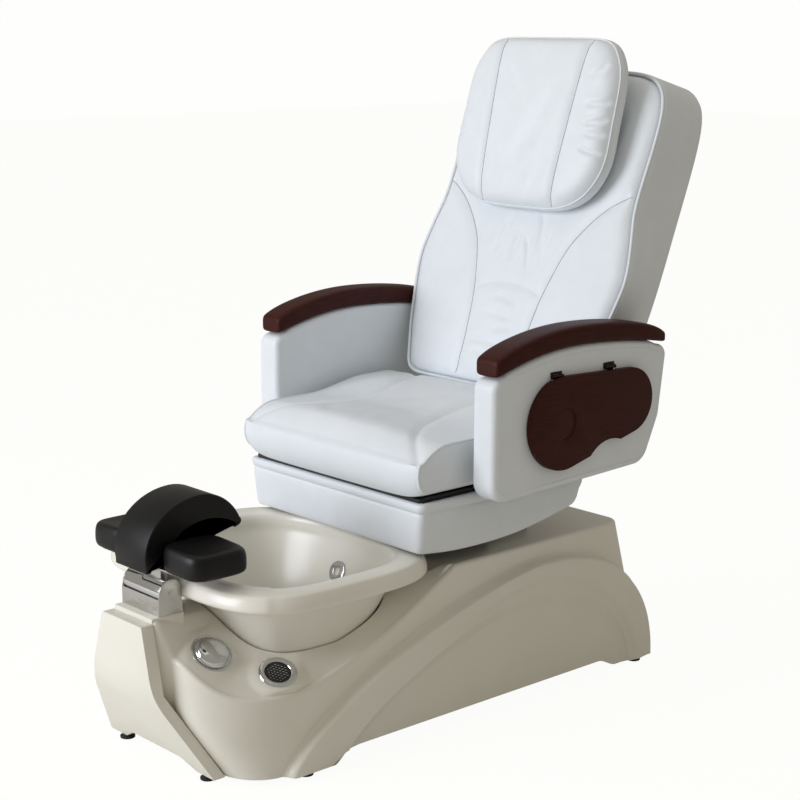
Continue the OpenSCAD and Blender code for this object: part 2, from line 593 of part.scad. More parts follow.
// ---------- seat carriage ----------
rail_x = 150;
rail_w = 30;
rail_h = 14;
slide_travel = 120;
shoe_l = 150;
shoe_y = -30;
shoe_top = deck_h + rail_h + gap + 8;
frame_low = 394;
module slide_rails() color(steel) both_sides()
    translate([rail_x - rail_w / 2, shoe_y - 8, deck_h]) cube([rail_w, shoe_l + slide_travel + 14, rail_h]);
module slide_shoes() color(black) both_sides() {
    translate([rail_x - rail_w / 2 - 6, shoe_y, deck_h + rail_h + gap]) cube([rail_w + 12, shoe_l, 8]);
    for (x = [rail_x - rail_w / 2 - 6, rail_x + rail_w / 2 + 1])
        translate([x, shoe_y, deck_h + 3]) cube([5, shoe_l, rail_h + 4]);
}
module seat_frame() color(dark_steel) {
    tube = 28;
    rear_bar_y = 232;
    for (s = [-1, 1], y = [shoe_y + 10, shoe_y + shoe_l - 10 - tube])
        translate([s * rail_x - tube / 2, y, shoe_top]) cube([tube, tube, pan_h - 8 - shoe_top]);
    for (s = [-1, 1]) translate([s * rail_x - tube / 2, seat_front_y + 46, frame_low + 60])
        cube([tube, 430, tube]);
    for (s = [-1, 1]) translate([s * rail_x - tube / 2, seat_front_y + 46, frame_low + 60])
        cube([tube, tube, pan_h - 8 - frame_low - 60]);
    for (y = [seat_front_y + 46, rear_bar_y])
        translate([-skirt_w / 2 + skirt_t + 6, y, frame_low + 60])
            cube([skirt_w - 2 * skirt_t - 12, tube, tube]);
}
skirt_front = seat_front_y + 22;
skirt_rear = 304;
skirt_rise = 9;                 // how much higher the skirt's front edge is than its lowest edge
skirt_low_h = rim_h + skirt_clear - skirt_rise;
skirt_top_h = pan_h - 8;
slice = 0.01;                   // thickness of the slices that a hull joins
module skirt_block(t) {
    module level(w, front, z) translate([0, 0, z]) linear_extrude(slice) polygon(rounded([
        [-w, front], [w, front], [w, skirt_rear - t], [-w, skirt_rear - t]], t > 0 ? 2 : 6));
    hull() {
        level(skirt_w / 2 - 15 - t, skirt_front + 5 + t, skirt_low_h - (t > 0 ? bite : 0));
        level(skirt_w / 2 - t, skirt_front + t, skirt_top_h - slice + (t > 0 ? bite : 0));
    }
}
// lower edge of the skirt in side view
skirt_edge = [[skirt_front - 30, 20], [skirt_front - 30, skirt_low_h + 14],
    [skirt_front + 18, skirt_low_h + skirt_rise], [skirt_front + 110, skirt_low_h],
    [skirt_front + 231, skirt_low_h], [skirt_front + 323, skirt_low_h + skirt_rise],
    [skirt_front + 437, skirt_low_h + 32], [skirt_front + 459, skirt_low_h + 46],
    [skirt_front + 471, skirt_low_h + 77], [skirt_front + 540, skirt_low_h + 90], [skirt_front + 540, 20]];
module seat_skirt() color(leather) difference() {
    skirt_block(0);
    skirt_block(skirt_t);
    along_x(-skirt_w, skirt_w) polygon(skirt_edge);
}
pan_side = skirt_w / 2 - 18;    // half width of the pan
back_tongue = [480, 82];        // the pan's extension under the back
module seat_pan() color(black) union() {
    translate([-pan_side, skirt_front + 8, skirt_top_h])
        cube([2 * pan_side, skirt_rear - 2 - skirt_front, pan_h - skirt_top_h]);
    translate([-back_tongue.x / 2, skirt_rear - 20, skirt_top_h])
        cube([back_tongue.x, back_tongue.y, pan_h - skirt_top_h]);
}

// ---------- seat cushion ----------
seat_rear_y = seat_front_y + seat_l;
seat_mid = [seat_front_y + seat_l / 2, pan_h + 62];
// half distance between the two sewn channels of the seat
function seat_seam(y) = y < 60 ? 125 + 150 * pow((60 - y) / 243, 2.2) : 125 + 75 * pow((y - 60) / 190, 2);
// height of the seat's upper edge along its length
function seat_edge(y) = let (u = min(1, max(0, 165 - y) / 175))
    seat_edge_h + 6 - 23 * u * u * (3 - 2 * u) - 31 * pow(max(0, -110 - y) / 73, 2)
    - 46 * pow(max(0, y - 226) / 84, 2);
// side outline of the seat: y from s = 0 at the front to 1 at the rear
function seat_y(u) = mix(seat_front_y + 13, seat_rear_y - 6, u);
function seat_profile(x) =
    let (end = abs(2 * x / seat_w), crown = 16 * (1 - end * end), inset = 14 * pow(end, 24),
         back_set = 10 * pow(end, 8), lift = 16 * pow(end, 12),
         outline = concat(
            [for (i = [0:6])
                [mix(seat_front_y + 34, seat_rear_y - 16, i / 6), pan_h + gap + lift * min(1, i / 2)]],
            [[seat_rear_y - 2, pan_h + 14 + lift], [seat_rear_y, pan_h + 44]],
            [for (i = [16:-1:0]) let (y = seat_y(i / 16), d = abs(x) - seat_seam(y))
                [y + back_set * (1 - i / 16), seat_edge(y)
                    + crown * min(1, (y - seat_front_y + 4) / 60, (seat_rear_y - y) / 110)
                    - (end > 0.95 ? 0 : 6 * exp(-pow(d / 13, 2)))]],
            [for (i = [1:6]) let (t = 150 + 92 * i / 6)
                [seat_front_y + 34 + 34 * cos(t) - 3 * (1 - end * end) + back_set,
                    pan_h + 50 + (t < 180 ? 56 : 54) * sin(t)]]))
    [for (p = outline) [x, mix(p.x, seat_mid.x, inset / 253), mix(p.y, seat_mid.y, inset / 62)]];
seat_cuts = concat([-1, -0.985, -0.95], [for (k = [-15:15]) k * 0.06], [0.95, 0.985, 1]);
module seat_cushion() color(leather) ring_skin([for (u = seat_cuts) seat_profile(u * seat_w / 2)]);

// ---------- arms ----------
arm_out = arms_w / 2;
arm_in = arm_out - arm_t;
arm_mid_y = 172;
function arm_top(y) = arm_high_h
    - (y < arm_mid_y ? 34 * pow((arm_mid_y - y) / 215, 2) : 24 * pow((y - arm_mid_y) / 264, 2));
function cap_top(y) = arm_high_h + cap_t
    - (y < arm_mid_y ? 36 * pow((arm_mid_y - y) / 222, 2) : 27 * pow((y - arm_mid_y) / 250, 2));
module arm_body() color(leather) difference() {
    union() {
        along_x(arm_in + 3, arm_out - 3) arm_outline(0);
        along_x(arm_in + 1, arm_out - 1) arm_outline(1.2);
        along_x(arm_in, arm_out) arm_outline(3.5);
    }
    for (y = [arm_bolt_y, arm_bolt_y + arm_bolt_pitch])
        translate([arm_in - bite, y, arm_low_h + 40]) rotate([0, 90, 0])
            cylinder(h = 20, r = arm_bolt_r + fit);
}
arm_bolt_y = 40;
arm_bolt_pitch = 190;
arm_bolt_r = 5;
arm_front_y = -71;              // ends of the arm's crest
arm_rear_y = 438;
module arm_outline(t) {
    crest = [for (i = [0:14]) let (y = mix(arm_rear_y - 40, arm_front_y + 40, i / 14)) [y, arm_top(y) - t]];
    polygon(rounded(concat(
        [[arm_front_y + t, arm_top(arm_front_y) - t], [arm_front_y - 2 + t, arm_low_h + t],
            [arm_rear_y - 54 - t * 0.7, arm_low_h + 16 + t], [arm_rear_y - 8 - t, arm_low_h + 114],
            [arm_rear_y + 14 - t, arm_top(arm_rear_y + 14) - t]], crest),
        concat([24, 40, 46, 70, 24], [for (c = crest) 0])));
}
module arm_right() arm_body();
module arm_left() mirror([1, 0, 0]) arm_body();
// arched wooden cap: a rounded section carried along the arm's top
module arm_cap() {
    y0 = arm_front_y + 8;
    y1 = arm_rear_y + 6;
    steps = 18;
    half = arm_t / 2 + 4;
    mid = arm_in + arm_t / 2;
    function section(u) =
        let (y = mix(y0, y1, u), taper = 1 - 0.14 * pow(abs(2 * u - 1), 14), low = arm_top(y) + gap,
             high = cap_top(y) - (u > 0.5 ? 14 : 6) * pow(abs(2 * u - 1), 10))
        [for (i = [0:15]) let (q = squircle(-i * 22.5, half * taper, (high - low) / 2, 4))
            [mid + q.x, y, (high + low) / 2 + q.y]];
    color(wood) ring_skin([for (i = [0:steps]) section(0.5 - 0.5 * cos(180 * i / steps))]);
}
module arm_cap_right() arm_cap();
module arm_cap_left() mirror([1, 0, 0]) arm_cap();
// steel straps that carry the arms from the seat pan
strap = [50, 4];
plate_w = 5;
module arm_brackets() color(dark_steel) both_sides() difference() {
    strap_in = pan_side + gap;
    for (y = [arm_bolt_y, arm_bolt_y + arm_bolt_pitch]) {
        translate([strap_in, y - strap.x / 2, pan_h - 7]) cube([arm_in - gap - strap_in, strap.x, strap.y]);
        translate([arm_in - gap - plate_w, y - strap.x / 2, pan_h - 7]) cube([plate_w, strap.x, 62]);
    }
    for (y = [arm_bolt_y, arm_bolt_y + arm_bolt_pitch])
        translate([arm_in - 30, y, arm_low_h + 40]) rotate([0, 90, 0]) cylinder(h = 60, r = arm_bolt_r + gap);
}
module arm_bolts() color(steel) both_sides() for (y = [arm_bolt_y, arm_bolt_y + arm_bolt_pitch])
    translate([arm_in, y, arm_low_h + 40]) rotate([0, 90, 0]) {
        translate([0, 0, -2 * gap - plate_w - 6]) cylinder(h = 6, r = 8);
        translate([0, 0, -gap - plate_w - bite]) cylinder(h = 24, r = arm_bolt_r);
    }

// ---------- manicure trays ----------
tray_in = arm_out + 1.5;
tray_axis_h = arm_high_h - tray_drop;
tray_mid = [[115, tray_axis_h - 98], [315, tray_axis_h - 78]];    // centres of the two lobes, y and z
hinge_y = [102, 260];
hinge_x = tray_in + 3;
knuckle_r = 4;
module tray_plan() difference() {
    hull() {
        translate(tray_mid[0]) circle(r = tray_r1, $fn = 72);
        translate(tray_mid[1]) circle(r = tray_r2, $fn = 72);
    }
    translate([tray_mid[1].x - 57, tray_mid[1].y - tray_r2 - 88]) circle(r = 85, $fn = 72);
}
module tray_body() color(wood) difference() {
    along_x(tray_in, tray_in + tray_t) tray_plan();
    along_x(tray_in + tray_t - 2, tray_in + tray_t + bite) difference() {
        translate([tray_mid[0].x, tray_mid[0].y]) circle(r = 34, $fn = 48);
        translate([tray_mid[0].x - 12, tray_mid[0].y]) circle(r = 34, $fn = 48);
    }
    for (y = hinge_y) translate([tray_in - bite, y - 19, tray_axis_h - 22])
        cube([hinge_x + knuckle_r + gap - tray_in + bite, 38, 40]);
}
module tray_right() tray_body();
module tray_left() mirror([1, 0, 0]) tray_body();
module leaves() color(steel) for (y = hinge_y) {
    translate([arm_out + gap / 2, y - 16, tray_axis_h + knuckle_r + gap]) cube([2, 32, 5]);
    for (k = [-16, 8]) {
        translate([hinge_x, y + k, tray_axis_h]) rotate([-90, 0, 0]) cylinder(h = 8, r = knuckle_r);
        translate([arm_out + gap / 2, y + k, tray_axis_h]) cube([2, 8, knuckle_r + gap + bite]);
    }
    translate([hinge_x, y - 16, tray_axis_h]) rotate([-90, 0, 0]) cylinder(h = 32, r = 1.5);
}
module tray_leaves_right() leaves();
module tray_leaves_left() mirror([1, 0, 0]) leaves();
module knuckles() color(steel) for (y = hinge_y) difference() {
    union() {
        translate([hinge_x, y - 7.7, tray_axis_h]) rotate([-90, 0, 0]) cylinder(h = 15.4, r = knuckle_r);
        translate([hinge_x - 1, y - 7.7, tray_axis_h - 22]) cube([3, 15.4, 22]);
        translate([hinge_x - 1, y - 19, tray_axis_h - 22]) cube([3, 38, 14]);
    }
    translate([hinge_x, y - 20, tray_axis_h]) rotate([-90, 0, 0]) cylinder(h = 40, r = 1.5 + fit);
}
module tray_knuckles_right() knuckles();
module tray_knuckles_left() mirror([1, 0, 0]) knuckles();

// ---------- reclining back ----------
// local frame of the back: x across, y towards the rear, z up along the back, origin on the pin
module in_back() translate([0, pin_y, pin_h]) rotate([-recline, 0, 0]) children();
back_foot = 20;
ear_x = 206;                    // inner face of the frame's legs, whose ears turn on the pins
ear_t = 8;
frame_d = 24;                   // depth of the frame's legs and bars
// half width of the back along its height
back_shape = [[0, 272], [69, 274], [140, 293], [192, 305], [240, 315], [290, 323], [330, 322], [379, 313],
    [414, 305], [447, 298], [500, 295], [602, 298], [700, 300], [back_l, 298]];
module recline_brackets() color(dark_steel) both_sides() difference() {
    union() {
        along_x(ear_x + 9, ear_x + 17) hull() {
            translate([pin_y, pin_h]) circle(r = 18);
            translate([pin_y - 20, pan_h]) square([50, 1]);
        }
        translate([ear_x - 2, pin_y - 20, pan_h]) cube([34, 50, 6]);
    }
    translate([0, pin_y, pin_h]) rotate([0, 90, 0]) cylinder(h = 400, r = recline_pin_r);
}
module recline_pins() color(steel) both_sides() translate([ear_x - 6, pin_y, pin_h]) rotate([0, 90, 0]) {
    cylinder(h = 26, r = recline_pin_r);
    translate([0, 0, 23 + gap]) cylinder(h = 5, r = recline_pin_r + 5);
}
frame_bars = [60, 330, back_l - 154];     // heights of the cross bars along the back
module back_frame() color(dark_steel) in_back() difference() {
    union() {
        both_sides() {
            translate([ear_x, 0, 0]) rotate([0, 90, 0]) cylinder(h = ear_t, r = 17);
            translate([ear_x, -frame_d / 2, 0]) cube([ear_t, frame_d, back_l - 130]);
        }
        for (z = frame_bars) translate([-ear_x, -frame_d / 2, z]) cube([2 * ear_x, frame_d, 24]);
    }
    rotate([0, 90, 0]) translate([0, 0, -400]) cylinder(h = 800, r = recline_pin_r + fit);
}
back_rear_shape = [[0, 232], [128, 262], [400, 278], [700, 278], [back_l, 270]];
back_crown = 26;                // how much higher the shell stands at the rear than in front
back_angles = [for (i = [0:59]) i * 6];
// closed outline of the back: s is its share of the size, k 0 at the front edge and 1 at the rear
function back_plan(a, s, inset, k = 0) =
    let (mid = (back_l + back_foot) / 2, half = (back_l - back_foot) / 2 - inset,
        q = a > 180 ? squircle(a, 1, half, 14) : squircle(a, 1, half + back_crown * k, 7), z = mid + q.y)
    [(mix(lookup(z, back_shape), lookup(z, back_rear_shape), k) - inset) * q.x * s, mid + q.y * s];
function back_ring(s, inset, y, k = 0) =
    [for (a = back_angles) let (p = back_plan(a, s, inset, k)) [p.x, y, p.y]];
module back_cover() color(leather) in_back() difference() {
    depth = back_t - back_front;
    front = 4 - back_front;
    wall = 8;
    ring_skin([
        for (l = [[0.3, 6, depth, 1], [0.8, 10, depth, 1], [1, 22, depth, 1], [1, 8, depth - 7, 1],
            [1, 0, depth - 22, 0.9], [1, 0, 0, 0.35], [1, 0, front + 4, 0], [1, 2, front, 0],
            [1, wall, front, 0], [1, wall, 0, 0.35], [1, wall, depth - 26, 0.9],
            [1, 30, depth - wall - 4, 1], [0.3, 30, depth - wall, 1]])
        back_ring(l[0], l[1], l[2], l[3])
    ]);
    both_sides() {
        translate([ear_x + ear_t, -30, -40]) cube([15, 62, 72]);
        translate([ear_x - 9, -frame_d / 2 - gap, -40]) cube([10 + ear_t, frame_d + 2 * gap, 72]);
    }
}
// half distance between the two sewn lines of the centre panel
function back_seam(z) = z < 260 ? 92 + 8 * pow((z - 200) / 180, 2) : 93 + 190 * pow((z - 260) / 240, 1.6);
module back_cushion() {
    side = 9;                    // the cushion lies inside the cover's wall
    front = -back_front;
    back = front + back_pad_t;
    function face(s, inset, y, crown, k = 0) = [for (a = back_angles)
        let (p = back_plan(a, s, side + inset, k), d = abs(p.x) - back_seam(p.y),
             groove = s > 0.97 ? 0 : 7 * exp(-pow(d / 13, 2)),
             lumbar = s > 0.97 || abs(p.x) > 100 ? 0
                : 4 * (exp(-pow((p.y - 128) / 10, 2)) + exp(-pow((p.y - 252) / 10, 2))))
        [p.x, y - crown * (1 - s * s) + groove + lumbar, p.y]];
    color(leather) in_back() ring_skin([for (r = [[0.9, 4, back, 0, 0.25], [1, 6, back, 0, 0.25],
        [1, 2, back - 12, 0, 0.19], [1, 0, front + 20, 0, 0.06], [1, 0, front + 6, 0, 0.02],
        [1, 3, front + 1, 0, 0], [0.985, 0, front, 8, 0], [0.95, 0, front, 14, 0],
        [0.86, 0, front, 14, 0], [0.75, 0, front, 14, 0],
        [0.62, 0, front, 14, 0], [0.5, 0, front, 14, 0], [0.42, 0, front, 14, 0], [0.35, 0, front, 14, 0],
        [0.28, 0, front, 14, 0], [0.15, 0, front, 14, 0]]) face(r[0], r[1], r[2], r[3], r[4])]);
}
pillow_tilt = 6;                 // how much more upright than the back the pillow stands
pillow_foot = 430;
module headrest_pillow() {
    angles = [for (i = [0:47]) i * 7.5];
    shape = [[0, 0.78], [40, 0.9], [110, 1], [200, 1], [300, 0.98], [360, 0.9], [400, 0.86]];
    function plan(a, s) = let (q = squircle(a, pillow_w / 2, pillow_l / 2, a > 180 ? 5 : 8))
        [q.x * s * lookup(pillow_l / 2 + q.y, shape), pillow_l / 2 + q.y * s];
    function ring(s, y, crown) = [for (a = angles)
        let (p = plan(a, s), d = abs(p.x) - mix(104, 138, p.y / pillow_l),
            groove = s > 0.9 ? 0 : 7 * exp(-pow(d / 12, 2)))
        [p.x, y - crown * (1 - s * s) + groove, p.y]];
    color(leather) in_back() translate([0, -back_front - 15.5, pillow_foot]) rotate([pillow_tilt, 0, 0])
        ring_skin([for (r = [[0.86, 0, 0], [0.96, -6, 0], [1, -22, 0], [0.99, -38, 0],
        [0.95, 12 - pillow_t, 0], [0.88, 10 - pillow_t, 12],
        [0.75, 10 - pillow_t, 14], [0.62, 10 - pillow_t, 14],
        [0.52, 10 - pillow_t, 14], [0.42, 10 - pillow_t, 14], [0.22, 10 - pillow_t, 14]])
        ring(r[0], r[1], r[2])]);
}

// ---------- massage mechanism ----------
massage_x = 70;
massage_y = 2;
massage_low = 96;
massage_travel = 160;
module massage_rails() color(steel) in_back() both_sides()
    translate([massage_x, massage_y, frame_bars[0] + 24])
        cylinder(h = frame_bars[1] - frame_bars[0] - 24, r = 6);
module massage_carriage() color(black) in_back() difference() {
    translate([-massage_x - 16, massage_y - 11, massage_low]) cube([2 * massage_x + 32, 22, 60]);
    both_sides() translate([massage_x, massage_y, massage_low - bite]) cylinder(h = 70, r = 6 + fit);
    translate([-30, massage_y - 12, massage_low + 12]) cube([60, 24, 36]);
}
module massage_rollers() color(steel) in_back() both_sides() for (z = [massage_low + 10, massage_low + 50])
    translate([44, massage_y - 11 - gap, z]) rotate([90, 0, 0]) cylinder(h = 5, r = 9);

base_shell();
front_panel();
basin();
base_frame();
levelling_feet();
service_cover();
drain_flange();
drain_plug();
jet_faceplate();
jet_pump();
drain_pump();
control_box();
power_inlet();
mixer_bezel();
mixer_valve();
mixer_knob();
grille_ring();
grille_insert();
footrest_bracket();
footrest_pin();
footrest_roll();
footrest_arm();
footrest_arch();
footrest_pad_left();
footrest_pad_right();
slide_rails();
slide_shoes();
seat_frame();
seat_skirt();
seat_pan();
seat_cushion();
arm_brackets();
arm_bolts();
arm_left();
arm_right();
arm_cap_left();
arm_cap_right();
tray_left();
tray_right();
tray_leaves_left();
tray_leaves_right();
tray_knuckles_left();
tray_knuckles_right();
recline_brackets();
recline_pins();
back_frame();
back_cover();
back_cushion();
headrest_pillow();
massage_rails();
massage_carriage();
massage_rollers();
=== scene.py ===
import math
import bmesh
import bpy
import numpy as np
from mathutils import Matrix, Vector


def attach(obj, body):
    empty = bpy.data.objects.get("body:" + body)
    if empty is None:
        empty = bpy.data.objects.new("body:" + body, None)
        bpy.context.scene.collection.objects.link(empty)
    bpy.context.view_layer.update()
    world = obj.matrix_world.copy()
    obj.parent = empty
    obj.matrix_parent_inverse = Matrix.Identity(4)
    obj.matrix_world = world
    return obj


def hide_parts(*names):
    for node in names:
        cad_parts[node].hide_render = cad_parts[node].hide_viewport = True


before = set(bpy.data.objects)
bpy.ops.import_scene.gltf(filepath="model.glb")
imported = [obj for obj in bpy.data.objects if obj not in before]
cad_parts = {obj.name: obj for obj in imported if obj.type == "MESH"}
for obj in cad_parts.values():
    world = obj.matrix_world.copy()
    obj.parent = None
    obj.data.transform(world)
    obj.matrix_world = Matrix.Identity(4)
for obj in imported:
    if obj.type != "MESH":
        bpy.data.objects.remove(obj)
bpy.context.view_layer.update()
bpy.ops.object.select_all(action="DESELECT")


# ======================================================================================
# Base shell
# The tub that stands on the floor: glass-fibre polyester laid up in one mould, cream
# gelcoat outside. Soft moulded edges, a sloping deck round the basin, an arched boss each
# side. Sizes are millimetres in the part's frame, as in the whole script.
# ======================================================================================
def mix(a, b, u):
    return a + (b - a) * u


def ease(u):
    """0 to 1 with a soft start and end."""
    u = np.clip(u, 0, 1)
    return u * u * (3 - 2 * u)


def power(v, p):
    return np.sign(v) * np.abs(v) ** p


def squircle(degrees, a, b, n):
    """A point of a superellipse: a round that n above 2 makes squarer."""
    turn = np.radians(degrees)
    return a * power(np.cos(turn), 2 / n), b * power(np.sin(turn), 2 / n)


def loft(name, rings, joined=False, sharp=40):
    """A closed skin over rings of points. Its last ring meets its first, or both are capped."""
    grid = np.array(rings, float) / 1000
    rows, around = grid.shape[:2]
    row = np.arange(rows if joined else rows - 1)[:, None] + np.zeros(around, int)
    stop = np.arange(around) + np.zeros_like(row)
    next_row, next_stop = (row + 1) % rows, (stop + 1) % around
    faces = np.stack([row * around + stop, row * around + next_stop,
                      next_row * around + next_stop, next_row * around + stop], -1)
    faces = faces.reshape(-1, 4).tolist()
    if not joined:
        faces.append(list(range(around)))
        faces.append(list(range((rows - 1) * around, rows * around)))
    mesh = bpy.data.meshes.new(name)
    mesh.from_pydata(grid.reshape(-1, 3).tolist(), [], faces)
    return closed_piece(name, mesh, sharp)


def closed_piece(name, mesh, sharp):
    """An object of a closed mesh: doubles merged, faces outwards, smooth up to an angle."""
    work = bmesh.new()
    work.from_mesh(mesh)
    bmesh.ops.remove_doubles(work, verts=work.verts, dist=2e-6)
    bmesh.ops.recalc_face_normals(work, faces=work.faces)
    work.to_mesh(mesh)
    work.free()
    mesh.shade_smooth()
    mesh.set_sharp_from_angle(angle=math.radians(sharp))
    piece = bpy.data.objects.new(name, mesh)
    bpy.context.scene.collection.objects.link(piece)
    return piece


def join(name, *pieces):
    """One object from several pieces of the same moulding."""
    with bpy.context.temp_override(active_object=pieces[0], selected_editable_objects=pieces):
        bpy.ops.object.join()
    pieces[0].name = name
    return pieces[0]


def colour(code):
    """A screen colour such as #e4e2d8 in the linear light that shaders work in."""
    parts = [int(code[k:k + 2], 16) / 255 for k in (1, 3, 5)]
    return [p / 12.92 if p <= 0.04045 else ((p + 0.055) / 1.055) ** 2.4 for p in parts] + [1]


def new_material(name):
    made = bpy.data.materials.new(name)
    made.use_nodes = True
    made.node_tree.nodes.clear()
    return made


MIX_A, MIX_B, MIXED = 6, 7, 2       # the two colours and the result among a Mix node's sockets


def add_node(owner, kind, settings=(), links=()):
    """One shader node. Settings name its properties or sockets, links feed its sockets."""
    made = owner.node_tree.nodes.new("ShaderNode" + kind)
    for name, value in dict(settings).items():
        if isinstance(name, str) and hasattr(made, name):
            setattr(made, name, value)
        else:
            made.inputs[name].default_value = value
    for name, source in dict(links).items():
        owner.node_tree.links.new(source, made.inputs[name])
    return made


def dress(piece, finish, body, slot, *nodes):
    """Gives a piece its finish and its body, and hides the CAD nodes it stands for; the slot is not used."""
    piece.data.materials.clear()
    piece.data.materials.append(finish)
    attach(piece, body)
    if nodes:
        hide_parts(*nodes)
    return piece


# Sprayed gelcoat, waxed mould: an even cream with a satin gloss, a trace of orange peel 7 mm
# apart, and a little colour drift over a hand's width.
gelcoat = new_material("cream_gelcoat_satin")
place = add_node(gelcoat, "TexCoord").outputs["Object"]
drift = add_node(gelcoat, "TexNoise", {"Scale": 9, "Detail": 3},
                 {"Vector": place})
peel = add_node(gelcoat, "TexNoise", {"Scale": 140, "Detail": 2},
                {"Vector": place})
tint = add_node(gelcoat, "Mix", {"data_type": "RGBA", MIX_A: colour("#e0ddd1"), MIX_B: colour("#e7e5db")},
                {0: drift.outputs["Fac"]})
gloss = add_node(gelcoat, "MapRange", {"To Min": 0.34, "To Max": 0.42},
                 {"Value": drift.outputs["Fac"]})
relief = add_node(gelcoat, "Bump", {"Strength": 0.12, "Distance": 0.0004},
                  {"Height": peel.outputs["Fac"]})
skin = add_node(gelcoat, "BsdfPrincipled", {"IOR": 1.5, "Coat Weight": 0.15, "Coat Roughness": 0.2},
                {"Base Color": tint.outputs[MIXED], "Roughness": gloss.outputs[0],
                 "Normal": relief.outputs[0]})
add_node(gelcoat, "OutputMaterial", {}, {"Surface": skin.outputs[0]})

# Outlines of the shell at the floor, at the waist and at the deck's edge
FOOT = dict(half=252, flat=150, front=-592.7, nose=-505, rear=555, corner=40, set_in=0, n=2)
WAIST = dict(half=251, flat=109, front=-679.7, nose=-486, rear=506.6, corner=42, set_in=22, n=2)
EDGE = dict(half=250, flat=100, front=-675.7, nose=-470, rear=462, corner=34, set_in=22, n=1.8)
STOPS = dict(front=25, nose=81, side=151, corner=15, rear=22)       # points along each stretch
LOW_Y, LOW_H = -476, 173    # where the deck's edge is lowest
LEDGE_H, DECK_TOP = 317, 344
TONGUE = 99                 # within this of the middle the edge rises to the ledge behind the panel
WAIST_SHARE = 0.5584        # height of the waist as a share of the edge's height
EDGE_ROUND, WALL = 9, 6
FLOOR_GAP, SIDE_LIFT = 12, 20       # under the shell at its feet, and more between them


def outline(o, t=0):
    """The shell's outline at one level, drawn in by t, from the middle of the front and round."""
    nose = np.linspace(-90, 0, STOPS["nose"])
    turn = np.radians(np.linspace(0, 90, STOPS["corner"]))
    nose_w, nose_l = o["half"] - t - o["flat"], o["nose"] - o["front"] - t - o["set_in"]
    round_x, round_y = squircle(nose, nose_w, nose_l, o["n"])
    front = [(x, o["front"] + t + o["set_in"] * ease((x - 0.6 * o["flat"]) / (0.38 * o["flat"])))
             for x in np.linspace(0, o["flat"] - 2, STOPS["front"])]
    curve = list(zip(o["flat"] + round_x, o["nose"] + round_y))
    side_end = o["rear"] - o["corner"]
    side = [(o["half"] - t, y) for y in np.linspace(o["nose"], side_end, STOPS["side"])[1:-1]]
    reach = o["corner"] - t
    corner = list(zip(o["half"] - o["corner"] + reach * np.cos(turn), side_end + reach * np.sin(turn)))
    rear = [(x, o["rear"] - t) for x in np.linspace(o["half"] - o["corner"], 0, STOPS["rear"])[1:]]
    half = front + curve + side + corner + rear
    return np.array(half + [(-x, y) for x, y in half[-2:0:-1]])


def edge_height(x, y):
    """Height of the deck's edge: low at the nose's rear end, high behind and at the ledge."""
    nose = np.clip((LOW_Y - y) / 203.7, 0, 0.8724) ** 5
    tongue = mix(1, 0.505, ease((np.abs(x) - 65) / 33))
    ahead = np.where(np.abs(x) < TONGUE, tongue, nose)
    behind = np.clip((y - LOW_Y) / 426, 0, 1) ** 1.5
    return np.where(y < LOW_Y, LOW_H + (LEDGE_H - LOW_H) * ahead, LOW_H + (DECK_TOP - LOW_H) * behind)


def foot_height(x, y):
    """The lower edge is lifted between the feet along the sides."""
    lift = ease((y + 400) / 34) * ease((438 - y) / 60)
    return FLOOR_GAP + SIDE_LIFT * lift * (np.abs(x) > 215)


# Basin wall: its inset from the lip by height, which the deck's seam follows
BASIN_Y, BASIN_HALF_W, BASIN_HALF_L = -336, 306, 266
BASIN_LEVELS = [(100, 150), (150, 128), (230, 108), (300, 78), (343, 58)]
SEAM_LOW, SEAM_OPEN = 230, 3        # the seam's lowest height, and its gap


def basin_point(angle, inset):
    """A point of the basin's plan, which is squarer towards the front."""
    c, s = np.cos(angle), np.sin(angle)
    n = 3.4 - 0.6 * s
    r = ((np.abs(c) / (BASIN_HALF_W - inset)) ** n + (np.abs(s) / (BASIN_HALF_L - inset)) ** n) ** (-1 / n)
    return r * c, BASIN_Y + r * s


def seam(x, y, drop=0):
    """Where the deck meets the basin, seen from a point of the edge."""
    angle = np.arctan2(y - BASIN_Y, x)
    s = np.sin(angle)
    z = SEAM_LOW + np.where(s < 0, 82 * np.abs(s) ** 6.5, 106 * np.abs(s) ** 1.3)
    inset = np.interp(z, *zip(*BASIN_LEVELS)) - SEAM_OPEN
    px, py = basin_point(angle, inset)
    return np.stack([px, py, z - drop], -1)


edge = outline(EDGE)
edge_z = edge_height(edge[:, 0], edge[:, 1])
waist_z = WAIST_SHARE * np.where((np.abs(edge[:, 0]) < TONGUE) & (edge[:, 1] < LOW_Y), LEDGE_H, edge_z)


def wall_rows(t):
    """Rows up the wall: straight from foot to waist to edge, with the waist eased round."""
    foot, waist, top = outline(FOOT, t), outline(WAIST, t), outline(EDGE, t)
    foot = np.column_stack([foot, foot_height(foot[:, 0], foot[:, 1])])
    waist = np.column_stack([waist, waist_z])
    top = np.column_stack([top, edge_z - EDGE_ROUND])
    lower, upper = mix(foot, waist, 0.75), mix(waist, top, 0.25)
    bend = [mix(mix(lower, waist, u), mix(waist, upper, u), u) for u in np.linspace(0, 1, 9)]
    return ([mix(foot, lower, u) for u in np.linspace(0, 1, 13)[:-1]] + bend
            + [mix(upper, top, u) for u in np.linspace(0, 1, 13)[1:]])


def deck_point(angle, share):
    """A point of the deck: how far round the nose, and its share of the way up to the seam."""
    nose_w, nose_l = EDGE["half"] - EDGE["flat"], EDGE["nose"] - EDGE["front"] - EDGE["set_in"]
    qx, qy = squircle(angle, nose_w, nose_l, EDGE["n"])
    x, y = EDGE["flat"] + qx, EDGE["nose"] + qy
    return mix(np.array([x, y, edge_height(x, y)]), seam(x, y), share)


